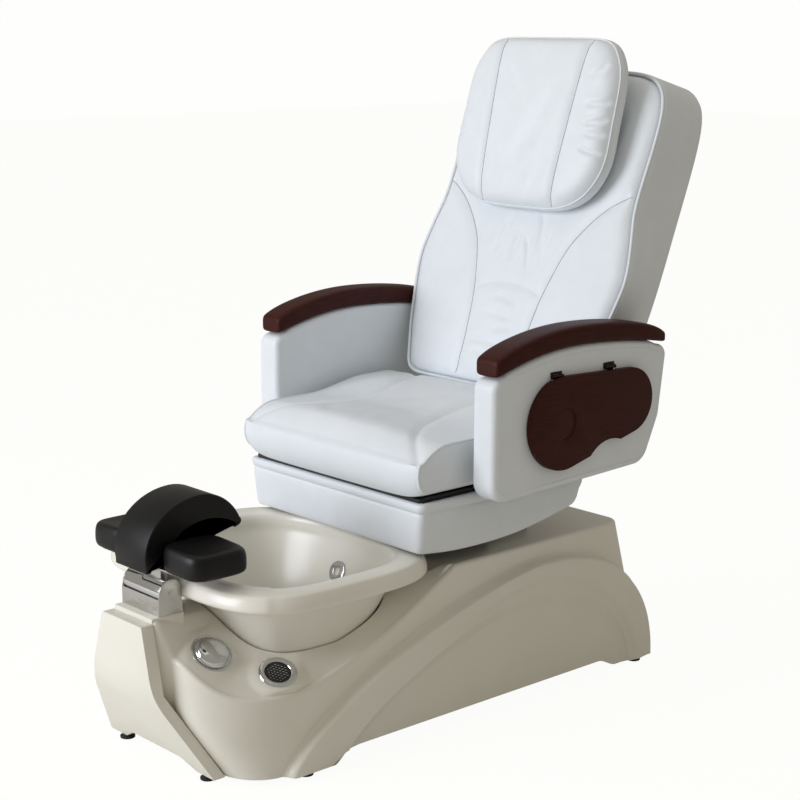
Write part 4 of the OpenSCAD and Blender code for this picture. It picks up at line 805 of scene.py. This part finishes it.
def crease(x, y, start, end, width, depth):
    """A fold pressed along a line: how deep it is at each point, fading at both ends."""
    start, end = np.array(start, float), np.array(end, float)
    way = end - start
    length = np.linalg.norm(way)
    way /= length
    along = (x - start[0]) * way[0] + (y - start[1]) * way[1]
    across = (x - start[0]) * -way[1] + (y - start[1]) * way[0]
    bow = across - 0.06 * length * np.sin(np.clip(along / length, 0, 1) * math.pi)
    ends = ease(along / length * 3) * ease((length - along) / length * 3)
    near_lip = 0.45 * np.exp(-((bow - 1.7 * width) / width) ** 2)
    far_lip = 0.3 * np.exp(-((bow + 1.9 * width) / width) ** 2)
    return depth * ends * (np.exp(-(bow / width) ** 2) - near_lip - far_lip)


SEAT_FRONT, SEAT_REAR, SEAT_HALF, PAN = -196, 310, 285, 505
SIDE_ROUND = 9
ROLL_Y, ROLL_Z, ROLL_REACH = -162, 555, 34          # centre and reach of the rolled front edge
BOTTOM_STOPS = 24


def seat_seam(y):
    """How far from the middle the two curved seams run."""
    return np.where(y < 60, 125 + 150 * (np.maximum(60 - y, 0) / 243) ** 2.2,
                    125 + 75 * (np.maximum(y - 60, 0) / 190) ** 2)


def seat_edge(y):
    """Height of the seat's upper edge along its length."""
    return (636 - 23 * ease((165 - y) / 175) - 31 * (np.maximum(-110 - y, 0) / 73) ** 2
            - 46 * (np.maximum(y - 226, 0) / 84) ** 2)


def seat_top(x, y):
    """Height of the seat's top: crowned, with its seams and a few soft folds."""
    end = np.abs(x) / SEAT_HALF
    crown = 16 * (1 - end ** 2) * np.clip(np.minimum((y + 200) / 60, (310 - y) / 110), 0, 1)
    away = np.abs(x) - seat_seam(y)
    groove = (4.5 * np.exp(-(away / 15) ** 2) + 1.6 * np.exp(-(away / 3.5) ** 2)) * (end < 0.96)
    folds = (crease(x, y, (-60, -130), (-150, -20), 16, 1.2) + crease(x, y, (40, -150), (10, -60), 14, 1.0)
             + crease(x, y, (150, -60), (60, 20), 18, 1.0) + crease(x, y, (-20, 40), (90, 150), 22, 1.4))
    return seat_edge(y) + crown - groove - folds


def seat_ring(x, inset):
    """One slice of the seat in side view at x, drawn in by inset."""
    end = abs(x) / SEAT_HALF
    top_y = np.linspace(304, -183, 110)
    turn = np.radians(np.linspace(150, 242, 26)[1:])
    bulge = 3 * (1 - end ** 2)
    roll_up = np.where(turn < math.pi, 56, 54)
    front = np.column_stack([ROLL_Y + ROLL_REACH * np.cos(turn) - bulge, ROLL_Z + roll_up * np.sin(turn)])
    bottom = np.column_stack([np.linspace(ROLL_Y, 294, BOTTOM_STOPS), np.full(BOTTOM_STOPS, PAN + 0.3)])
    rear = np.array([(302, 508), (308, 519), (310, 534), (310, 549), (309.4, 562), (307.5, 574)])
    line = np.vstack([bottom, rear, np.column_stack([top_y, seat_top(x + 0 * top_y, top_y)]), front])
    middle = np.array([57, 567])
    line[:, 0] += 10 * end ** 8 * (SEAT_REAR - line[:, 0]) / (SEAT_REAR - SEAT_FRONT)
    line[:, 1] += 16 * end ** 12 * np.clip(1 - (line[:, 1] - PAN) / 60, 0, 1)
    drawn = mix(line, middle, inset / np.array([253, 62]))
    return np.column_stack([x + 0 * line[:, 0], drawn])


slices = []
for a in np.radians(np.linspace(90, 0, 7)):
    slices.append((SEAT_HALF - SIDE_ROUND + SIDE_ROUND * math.sin(a), SIDE_ROUND * (1 - math.cos(a))))
across = np.linspace(SEAT_HALF - SIDE_ROUND, -(SEAT_HALF - SIDE_ROUND), 150)[1:-1]
rings = [seat_ring(x, inset) for x, inset in slices] + [seat_ring(x, 0) for x in across]
rings += [seat_ring(-x, inset) for x, inset in slices[::-1]]
cushion = loft("seat_cushion_leather", rings, sharp=60)
dress(cushion, leather, "seat", "white_leather", "seat_cushion")


SEAT_PIPING = 3
edge_ring = seat_ring(SEAT_HALF - 3, 1.2)[BOTTOM_STOPS:]
for side, name in SIDES:
    path = evenly(edge_ring * (side, 1, 1), 150, closed=False, measured=3)
    dress(tube("seat_piping_" + name, path, SEAT_PIPING), leather, "seat", "white_leather")


# ======================================================================================
# Arms
# Plywood boxes padded and covered in white leather, with a welt round the outer face, and
# an arched cap of turned hardwood stained mahogany.
# ======================================================================================
def fillet(points, radii, steps=14):
    """A polygon with its corners rounded to the given radii."""
    line = []
    count = len(points)
    p = np.array(points, float)
    for k, radius in enumerate(radii):
        if radius <= 0:
            line.append(p[k])
            continue
        u = p[k - 1] - p[k]
        w = p[(k + 1) % count] - p[k]
        u, w = u / np.linalg.norm(u), w / np.linalg.norm(w)
        half = math.acos(np.clip(u.dot(w), -1, 1)) / 2
        middle = p[k] + (u + w) / np.linalg.norm(u + w) * radius / math.sin(half)
        first, last = p[k] + u * radius / math.tan(half), p[k] + w * radius / math.tan(half)
        a0 = math.atan2(*(first - middle)[::-1])
        a1 = math.atan2(*(last - middle)[::-1])
        turn = (a1 - a0 + 3 * math.pi) % (2 * math.pi) - math.pi
        line += [middle + radius * np.array([math.cos(a0 + turn * s), math.sin(a0 + turn * s)])
                 for s in np.linspace(0, 1, steps)]
    return np.array(line)


def arm_top(y):
    return 792 - np.where(y < 172, 34 * ((172 - y) / 215) ** 2, 24 * ((y - 172) / 264) ** 2)


def cap_top(y):
    return 834 - np.where(y < 172, 36 * ((172 - y) / 222) ** 2, 27 * ((y - 172) / 250) ** 2)


ARM_IN, ARM_OUT, ARM_ROUND = 314, 378, 13
WELT_INSET, WELT_R = 14, 1.3
corners = [(-71, arm_top(-71)), (-73, 496), (384, 512), (430, 610), (452, arm_top(452))]
top_y = np.linspace(398, -31, 40)
arm_side = evenly(np.vstack([fillet(corners, [24, 40, 46, 70, 24]),
                             np.column_stack([top_y, arm_top(top_y)])]), 420)


def arm(side, name):
    low, high = sorted((side * ARM_IN, side * ARM_OUT))
    return slab("arm_padding_" + name, arm_side, low, high, ARM_ROUND, 10)


def arm_welt(side, name):
    """The welt of the outer face, open at the top, where the cap covers it."""
    y, z = inward(arm_side, WELT_INSET).T
    seen = z < arm_top(y) - 12
    start = int(np.argmax(~seen))
    y, z, seen = np.roll(y, -start), np.roll(z, -start), np.roll(seen, -start)
    path = np.column_stack([np.full(seen.sum(), side * (ARM_OUT - 0.4)), y[seen], z[seen]])
    return tube("arm_welt_" + name, path, WELT_R, sides=8)


# Turned hardwood under a mahogany stain and satin lacquer: dark red-brown, streaks about
# 3 mm apart along the arm, a soft highlight from the lacquer.
mahogany = new_material("mahogany_stained_satin")
place = add_node(mahogany, "TexCoord").outputs["Object"]
stretch = add_node(mahogany, "Mapping", {"Scale": (150, 12, 150)}, {"Vector": place})
streaks = add_node(mahogany, "TexNoise", {"Scale": 1.6, "Detail": 5, "Distortion": 0.6},
                   {"Vector": stretch.outputs[0]})
bands = add_node(mahogany, "MapRange", {"From Min": 0.3, "From Max": 0.7}, {"Value": streaks.outputs["Fac"]})
tint = add_node(mahogany, "Mix", {"data_type": "RGBA", MIX_A: colour("#32100a"), MIX_B: colour("#40150e")},
                {0: bands.outputs[0]})
relief = add_node(mahogany, "Bump", {"Strength": 0.03, "Distance": 0.0002},
                  {"Height": streaks.outputs["Fac"]})
skin = add_node(mahogany, "BsdfPrincipled",
                {"Roughness": 0.48, "IOR": 1.5, "Specular IOR Level": 0.16},
                {"Base Color": tint.outputs[MIXED], "Normal": relief.outputs[0]})
add_node(mahogany, "OutputMaterial", {}, {"Surface": skin.outputs[0]})


CAP_ROUND = 0.014           # how much of the cap's length its rounded end edges take
CAP_FRONT, CAP_REAR, CAP_MID, CAP_HALF_W = -63, 444, 346, 36


def arm_cap(side, name):
    """A squared section carried along the arm's arch, with both ends rounded over."""
    rings = []
    turn = np.linspace(0, -360, 72, endpoint=False)
    rounded = 1 - np.cos(np.linspace(0, math.pi / 2, 10))
    along = np.concatenate([rounded * CAP_ROUND, np.linspace(CAP_ROUND, 1 - CAP_ROUND, 70)[1:-1],
                            1 - rounded[::-1] * CAP_ROUND])
    for u in along:
        y = mix(CAP_FRONT, CAP_REAR, u)
        near_end = min(u, 1 - u) / CAP_ROUND
        shut = 6 * (1 - math.sqrt(max(0, 1 - max(0, 1 - near_end) ** 2)))
        taper = 1 - 0.14 * abs(2 * u - 1) ** 14
        low = arm_top(y) + 0.3
        high = cap_top(y) - (14 if u > 0.5 else 6) * abs(2 * u - 1) ** 10
        qx, qz = squircle(turn, CAP_HALF_W * taper - shut, (high - low) / 2 - shut, 5)
        rings.append(np.column_stack([side * (CAP_MID + qx), y + 0 * qx, (low + high) / 2 + qz]))
    return loft("arm_cap_wood_" + name, rings, sharp=60)


for side, name in SIDES:
    padding = dress(arm(side, name), leather, "seat", "white_leather", "arm_" + name)
    dress(arm_welt(side, name), leather, "seat", "white_leather")
    dress(arm_cap(side, name), mahogany, "seat", "mahogany", "arm_cap_" + name)
paint(stainless, "stainless", "arm_bolts", "recline_pins", "massage_rails")
paint(rubber, "rubber", "massage_rollers")
paint(plastic, "black_plastic", "massage_carriage")


# ======================================================================================
# Trays
# A guitar-shaped tray each side, cut from hardwood board with rounded rims and a crescent
# finger groove; it folds down against the arm on two bronze hinges.
# ======================================================================================
# Bronzed steel hinge: dark brown metal, worn brighter in places.
bronze = new_material("bronzed_hinge_steel")
place = add_node(bronze, "TexCoord").outputs["Object"]
wear = add_node(bronze, "TexNoise", {"Scale": 220, "Detail": 4}, {"Vector": place})
tint = add_node(bronze, "Mix", {"data_type": "RGBA", MIX_A: colour("#1d1512"), MIX_B: colour("#46372f")},
                {0: wear.outputs["Fac"]})
skin = add_node(bronze, "BsdfPrincipled", {"Metallic": 1, "Roughness": 0.32},
                {"Base Color": tint.outputs[MIXED]})
add_node(bronze, "OutputMaterial", {}, {"Surface": skin.outputs[0]})

for name in ("right", "left"):
    tray = rounded_copy("tray_" + name, "tray_board_" + name, 1.5, 3)
    dress(tray, mahogany, name + "_tray", "mahogany", "tray_" + name)
    leaf = rounded_copy("tray_leaves_" + name, "hinge_leaves_" + name, 0.4, 2)
    dress(leaf, bronze, "seat", "bronzed_steel", "tray_leaves_" + name)
    knuckle = rounded_copy("tray_knuckles_" + name, "hinge_knuckles_" + name, 0.4, 2)
    dress(knuckle, bronze, name + "_tray", "bronzed_steel", "tray_knuckles_" + name)


# ======================================================================================
# Back
# A moulded shell upholstered all over: a plain leather cover on the sides and rear, and in
# front a padded face inside a thick piping, sewn with two curved seams and two lumbar seams.
# ======================================================================================
RECLINE = math.radians(22)
HINGE_Y, HINGE_Z = 335, 585         # the recline pins, from which the back's own frame is measured
BACK_MID, BACK_HALF_L, BACK_HALF_W = 396, 376, 300
# Half width of the back by height, in front and at the rear
back_shape = smooth_line([(0, 272), (69, 274), (140, 293), (192, 305), (240, 315), (290, 323), (330, 322),
                          (379, 313), (414, 305), (447, 298), (500, 295), (602, 298), (700, 300),
                          (772, 298)], 8)
rear_shape = smooth_line([(0, 232), (128, 262), (400, 278), (700, 278), (772, 270)], 12)
REAR_CROWN = 26             # how much higher the shell stands at the rear than in front


def in_back(points):
    """From the back's own frame (across, rearward, up along the back) to the part's frame."""
    x, y, z = np.moveaxis(np.asarray(points, float), -1, 0)
    return np.stack([x, HINGE_Y + y * math.cos(RECLINE) + z * math.sin(RECLINE),
                     HINGE_Z - y * math.sin(RECLINE) + z * math.cos(RECLINE)], -1)


def back_half(v, k):
    """Half width at height v, from the front (k = 0) to the rear (k = 1)."""
    return mix(np.interp(v, *back_shape.T), np.interp(v, *rear_shape.T), k)


def squared_oval(half_w, half_l, low, high):
    """A fine closed line: a rectangle rounded by one exponent at its foot and one at its head."""
    around = np.linspace(0, 2 * math.pi, 4000, endpoint=False)
    n = np.where(around > math.pi, low, high)
    c, s = np.cos(around), np.sin(around)
    far = ((np.abs(c) / half_w) ** n + (np.abs(s) / half_l) ** n) ** (-1 / n)
    return far * c, far * s


oval_x, oval_z = squared_oval(BACK_HALF_W, BACK_HALF_L, 14, 7)
unit = np.column_stack([oval_x / BACK_HALF_W, oval_z / BACK_HALF_L])
true_line = np.column_stack([back_half(BACK_MID + BACK_HALF_L * unit[:, 1], 0) * unit[:, 0],
                             BACK_MID + BACK_HALF_L * unit[:, 1], unit])
unit = evenly(true_line, 560)[:, 2:]


def back_ring(s, inset, y, k=0.0):
    """A ring of the back: s is its share of the full size, inset its distance inside it."""
    v = BACK_MID + unit[:, 1] * (BACK_HALF_L - inset + REAR_CROWN * k * (unit[:, 1] > 0))
    x = (back_half(v, k) - inset) * unit[:, 0] * s
    return np.column_stack([x, y + 0 * x, BACK_MID + (v - BACK_MID) * s])


# Rings of the cover as (share, inset, y, k), from the middle of the rear round the side and in
REAR_Y, REAR_ROUND, FRONT_Y = 93, 26, -75
SIDE_Y = REAR_Y - REAR_ROUND
cover_rows = [(0.3, 12, REAR_Y, 1), (0.75, 14, REAR_Y, 1), (0.93, 16, REAR_Y, 1)]
for u in np.linspace(0, 1, 9):
    a = u * math.pi / 2
    cover_rows.append((1, REAR_ROUND * (1 - math.sin(a)), SIDE_Y + REAR_ROUND * math.cos(a), mix(1, 0.85, u)))
for y in np.linspace(50, FRONT_Y, 12):
    cover_rows.append((1, 0, y, mix(0.85, 0, (SIDE_Y - y) / (SIDE_Y - FRONT_Y))))
cover_rows += [(1, 1.2, -78, 0), (1, 4, -79, 0), (1, 9, -78, 0), (1, 10, -60, 0.1), (1, 10, 0, 0.35),
               (1, 12, 60, 0.9), (1, 30, 81, 1), (0.3, 30, 85, 1)]
cover = loft("back_cover_leather", [in_back(back_ring(*row)) for row in cover_rows], sharp=60)
dress(cover, leather, "back", "white_leather", "back_cover")

PIPING_INSET, PIPING_Y, PIPING_R = 4.5, -81.5, 3.6
piping_line = in_back(back_ring(1, PIPING_INSET, PIPING_Y))
piping = tube("back_piping", piping_line, PIPING_R, closed=True, sides=12)
dress(piping, leather, "back", "white_leather")

# The right one of the two curved seams: (across, up) points
seam_line = evenly(smooth_line([(89, 0), (90, 110), (96, 178), (104, 234), (117, 285), (132, 331), (150, 370),
                                (184, 415), (220, 450), (262, 478), (312, 500)], 8), 150, closed=False)
LUMBAR_LOW, LUMBAR_HIGH, LUMBAR_BOW = 122, 264, 20


def from_line(x, v, line):
    """Distance of each point from a line of points."""
    return np.min(np.hypot(x[:, None] - line[:, 0], v[:, None] - line[:, 1]), axis=1)


def back_folds(x, v):
    """Seams and wrinkles of the back's face, as depth below the plain crown."""
    away = from_line(np.abs(x), v, seam_line)
    edge_fade = ease((back_half(v, 0) - np.abs(x) - 6) / 26)
    depth = (5 * np.exp(-(away / 15) ** 2) + 2.2 * np.exp(-(away / 3) ** 2)) * edge_fade
    inside = ease((np.interp(v, seam_line[:, 1], seam_line[:, 0]) - np.abs(x)) / 20)
    for level, bow in ((LUMBAR_LOW, 0), (LUMBAR_HIGH, LUMBAR_BOW)):
        away = v - level + bow * (x / 100) ** 2
        depth = depth + (2.8 * np.exp(-(away / 12) ** 2) + 1.2 * np.exp(-(away / 4) ** 2)) * inside
    wrinkles = [((-10, 440), (-26, 300), 12, 2.6), ((38, 450), (62, 330), 11, 2.4),
                ((-52, 420), (-78, 320), 10, 2.2), ((14, 380), (40, 285), 9, 2.0),
                ((80, 400), (66, 300), 9, 1.8), ((-40, 230), (50, 214), 10, 1.6),
                ((-60, 190), (40, 176), 12, 1.6), ((-20, 150), (70, 158), 10, 1.4),
                ((-70, 96), (30, 84), 13, 1.6), ((30, 60), (90, 84), 11, 1.2),
                ((210, 520), (150, 560), 16, 1.6), ((-200, 560), (-150, 520), 15, 1.6),
                ((190, 700), (176, 560), 20, 2.2), ((-190, 700), (-168, 570), 20, 2.0)]
    for start, end, width, amount in wrinkles:
        depth = depth + crease(x, v, start, end, 0.8 * width, 1.6 * amount)
    return depth


CROWN, CROWN_OVER = 14, 13          # how high the padding stands, and how soon it gets there
FACE_Y, FACE_LIMIT = -83, -104


def face_row(s, inset):
    """A ring of the padded face: it swells up from the piping, and its seams press it in."""
    ring = back_ring(s, inset, 0)
    x, v = ring[:, 0], ring[:, 2]
    border = (1 - s) * BACK_HALF_W
    crown = CROWN * (1 - math.exp(-border / CROWN_OVER))
    y = FACE_Y - crown + back_folds(x, v) * ease((border - 4) / 16)
    return np.column_stack([x, np.maximum(y, FACE_LIMIT), v])


side_rows = [(0.9, 13, -19, 0.4), (1, 15, -19, 0.4), (1, 11, -31, 0.35), (1, 9, -50, 0.1), (1, 9, -70, 0),
             (1, 10, -79, 0), (1, 12, -82, 0)]
face_rows = [face_row(s, 12) for s in 1 - 0.93 * np.linspace(0, 1, 110)[1:] ** 1.15]
rings = [back_ring(*row) for row in side_rows] + face_rows
face = loft("back_face_leather", [in_back(ring) for ring in rings], sharp=70)
dress(face, leather, "back", "white_leather", "back_cushion")


# Seam cords: a thin grey cord in each seam's groove. Its grey is painted shade for the dark shadow gap where
# two panels meet, a little lighter in places at random.
painted_seam_shade = new_material("seam_cord_painted_shade")
place = add_node(painted_seam_shade, "TexCoord").outputs["Object"]
seam_shade_noise = add_node(painted_seam_shade, "TexNoise", {"Scale": 900}, {"Vector": place})
tint = add_node(painted_seam_shade, "Mix", {"data_type": "RGBA", MIX_A: colour("#8b9096"), MIX_B: colour("#a4a9ae")},
                {0: seam_shade_noise.outputs["Fac"]})
skin = add_node(painted_seam_shade, "BsdfPrincipled", {"Roughness": 0.8}, {"Base Color": tint.outputs[MIXED]})
add_node(painted_seam_shade, "OutputMaterial", {}, {"Surface": skin.outputs[0]})


def lay_seam_shade_cord(name, line, face_points, to_row, body, lift=0.2, radius=0.8):
    """A thin cord of painted seam shade along a line of (across, up) points, laid in the face that the points
    give.
    """
    line = np.array(line, float)
    cloud = np.array(face_points, float)
    off = np.hypot(line[:, None, 0] - cloud[:, 0], line[:, None, 1] - cloud[:, 2])
    near = np.argsort(off, axis=1)[:, :6]
    weight = 1 / (np.take_along_axis(off, near, 1) ** 2 + 1)
    depth = (cloud[near, 1] * weight).sum(1) / weight.sum(1)
    path = np.column_stack([line[:, 0], depth - lift, line[:, 1]])
    dress(tube(name, to_row(path), radius, sides=6), painted_seam_shade, body, "white_leather")


cloud = np.vstack(face_rows)
kept = seam_line[(seam_line[:, 1] > 36) & (seam_line[:, 0] < back_half(seam_line[:, 1], 0) - 15)]
# Grey cords of painted shade lie in the back's two curved seams.
for name, line in (("right", kept), ("left", kept * (-1, 1))):
    lay_seam_shade_cord("back_seam_shade_" + name, line, cloud, in_back, "back")


# ======================================================================================
# Headrest pillow
# A fibre-filled leather pillow that hangs on the upper back: two sewn grooves in front, a
# gusset round the sides and a fine piping at its foot. Softer than the rest, so it creases.
# ======================================================================================
PILLOW_L, PILLOW_HALF = 388, 231
PILLOW_FOOT, PILLOW_Y, PILLOW_TILT = 430, -98.5, math.radians(6)
GUSSET, PILLOW_WELT_R = 36, 1.6
GROOVE_LOW, GROOVE_HIGH = 106, 132          # how far from the middle the grooves run, foot and head
pillow_shape = smooth_line([(0, 0.78), (40, 0.9), (110, 1), (200, 1), (300, 0.98), (360, 0.9),
                            (400, 0.86)], 8)


def in_pillow(points):
    """From the pillow's own frame (across, rearward, up from its foot) to the part's frame."""
    x, y, z = np.moveaxis(np.asarray(points, float), -1, 0)
    a = PILLOW_TILT
    return in_back(np.stack([x, PILLOW_Y + y * math.cos(a) - z * math.sin(a),
                             PILLOW_FOOT + y * math.sin(a) + z * math.cos(a)], -1))


def pillow_width(z):
    """The pillow's width at a height from its middle, as a share of the full one."""
    return np.interp(PILLOW_L / 2 + z, *pillow_shape.T)


oval_x, oval_z = squared_oval(PILLOW_HALF, PILLOW_L / 2, 5, 8)
true_line = np.column_stack([oval_x * pillow_width(oval_z), oval_z, oval_x, oval_z])
pillow_line = evenly(true_line, 480)[:, 2:]


def pillow_ring(s, y):
    x, z = pillow_line.T
    return np.column_stack([x * s * pillow_width(z), y + 0 * x, PILLOW_L / 2 + z * s])


def pillow_folds(x, w):
    """The two sewn grooves and the wrinkles of the slack filling, as depth."""
    away = np.abs(x) - mix(GROOVE_LOW, GROOVE_HIGH, w / PILLOW_L)
    depth = 5 * np.exp(-(away / 13) ** 2) + 2.4 * np.exp(-(away / 3.6) ** 2)
    wrinkles = [((70, 300), (-50, 70), 26, 3.0), ((238, 250), (158, 232), 8, 2.8),
                ((240, 214), (162, 190), 7, 3.0), ((244, 176), (168, 170), 8, 2.6),
                ((238, 130), (160, 142), 7, 2.4), ((-236, 220), (-168, 204), 8, 1.8),
                ((-238, 150), (-176, 160), 8, 1.8), ((40, 40), (90, 90), 12, 1.4),
                ((-80, 320), (-60, 250), 14, 1.4), ((200, 330), (160, 290), 9, 2.0),
                ((-110, 30), (-60, 70), 12, 1.2)]
    for start, end, width, amount in wrinkles:
        depth = depth + crease(x, w, start, end, 0.85 * width, 1.5 * amount)
    return depth


gusset_rows = [(0.5, 0), (0.86, 0), (0.93, -1.5), (0.965, -5), (0.985, -10), (0.996, -17), (1, -24),
               (0.998, -29), (0.992, -32.5), (0.984, -35)]
rings = [pillow_ring(s, y) for s, y in gusset_rows]
face_rows = []
for s in 0.98 - 0.915 * np.linspace(0, 1, 90) ** 1.1:
    ring = pillow_ring(s, 0)
    border = (0.98 - s) * PILLOW_HALF
    swell = 19 * (1 - math.exp(-border / 10)) + 13 * (1 - math.exp(-border / 45))
    ring[:, 1] = -GUSSET - swell + pillow_folds(ring[:, 0], ring[:, 2]) * ease(border / 14)
    face_rows.append(ring)
pillow = loft("headrest_pillow_leather", [in_pillow(ring) for ring in rings + face_rows], sharp=70)
dress(pillow, leather, "back", "white_leather", "headrest_pillow")
pillow_welt = tube("pillow_piping", in_pillow(pillow_ring(0.985, -GUSSET)), PILLOW_WELT_R, closed=True)
dress(pillow_welt, leather, "back", "white_leather")
cloud = np.vstack(face_rows[2:])
up = np.linspace(8, PILLOW_L - 8, 90)
# Grey cords of painted shade lie in the pillow's two grooves.
for side, name in SIDES:
    line = np.column_stack([side * mix(GROOVE_LOW, GROOVE_HIGH, up / PILLOW_L), up])
    lay_seam_shade_cord("pillow_seam_shade_" + name, line, cloud, in_pillow, "back")


# ======================================================================================
# Studio
# A pale floor that runs out to white, one large soft lamp in front on the left, a weak one
# overhead, and an even warm light from all round.
# ======================================================================================
bpy.ops.mesh.primitive_plane_add(size=40, location=(0, 0, 0))
floor = bpy.context.object
floor.name = "studio_floor"
paper = new_material("studio_paper")
ray = add_node(paper, "LightPath")
share = add_node(paper, "Math", {"operation": "MULTIPLY", 1: 0.94}, {0: ray.outputs["Is Camera Ray"]})
matt = add_node(paper, "BsdfDiffuse", {"Color": colour("#e9e7e2")})
white = add_node(paper, "Emission", {"Color": colour("#fefefc"), "Strength": 1.03})
both = add_node(paper, "MixShader", {}, {0: share.outputs[0], 1: matt.outputs[0], 2: white.outputs[0]})
add_node(paper, "OutputMaterial", {}, {"Surface": both.outputs[0]})
floor.data.materials.append(paper)

world = bpy.data.worlds.new("studio_air")
world.use_nodes = True
world.node_tree.nodes.clear()
bpy.context.scene.world = world
ray = add_node(world, "LightPath")
air = add_node(world, "Background", {"Color": colour("#f6efe2"), "Strength": 0.42})
backdrop = add_node(world, "Background", {"Color": colour("#fefefc"), "Strength": 1})
both = add_node(world, "MixShader", {},
                {0: ray.outputs["Is Camera Ray"], 1: air.outputs[0], 2: backdrop.outputs[0]})
add_node(world, "OutputWorld", {}, {"Surface": both.outputs[0]})


def lamp(name, location, aim, size, power_w, tint):
    light = bpy.data.lights.new(name, "AREA")
    light.shape = "RECTANGLE"
    light.size, light.size_y = size
    light.energy = power_w
    light.color = colour(tint)[:3]
    stand = bpy.data.objects.new(name, light)
    stand.location = location
    stand.rotation_mode = "QUATERNION"
    stand.rotation_quaternion = (Vector(aim) - Vector(location)).to_track_quat("-Z", "Y")
    bpy.context.scene.collection.objects.link(stand)


lamp("key_softbox", (-1.5, -4.3, 1.9), (0, 0, 0.6), (2.2, 2.6), 154, "#f2f6ff")
lamp("ceiling_softbox", (0, -0.3, 3.1), (0, 0, 0.6), (3, 3), 11, "#fffdf8")


# ======================================================================================
# Camera
# A long lens 3.9 m away, in front on the side of the knob, at the height of the back's top
# and looking a little down.
# ======================================================================================
AZIMUTH, PITCH = math.radians(48.18), math.radians(12)
FOCAL_PX, FRAME_PX, SENSOR = 1807.2, 800, 36
camera = bpy.data.objects.new("camera", bpy.data.cameras.new("camera"))
camera.data.sensor_width = SENSOR
camera.data.lens = FOCAL_PX / FRAME_PX * SENSOR
camera.location = (2.8324, -2.5157, 1.4486)
ahead = Vector((-math.sin(AZIMUTH) * math.cos(PITCH), math.cos(AZIMUTH) * math.cos(PITCH), -math.sin(PITCH)))
camera.rotation_mode = "QUATERNION"
camera.rotation_quaternion = ahead.to_track_quat("-Z", "Y")
bpy.context.scene.collection.objects.link(camera)
bpy.context.scene.camera = camera
bpy.context.scene.view_settings.view_transform = "Standard"
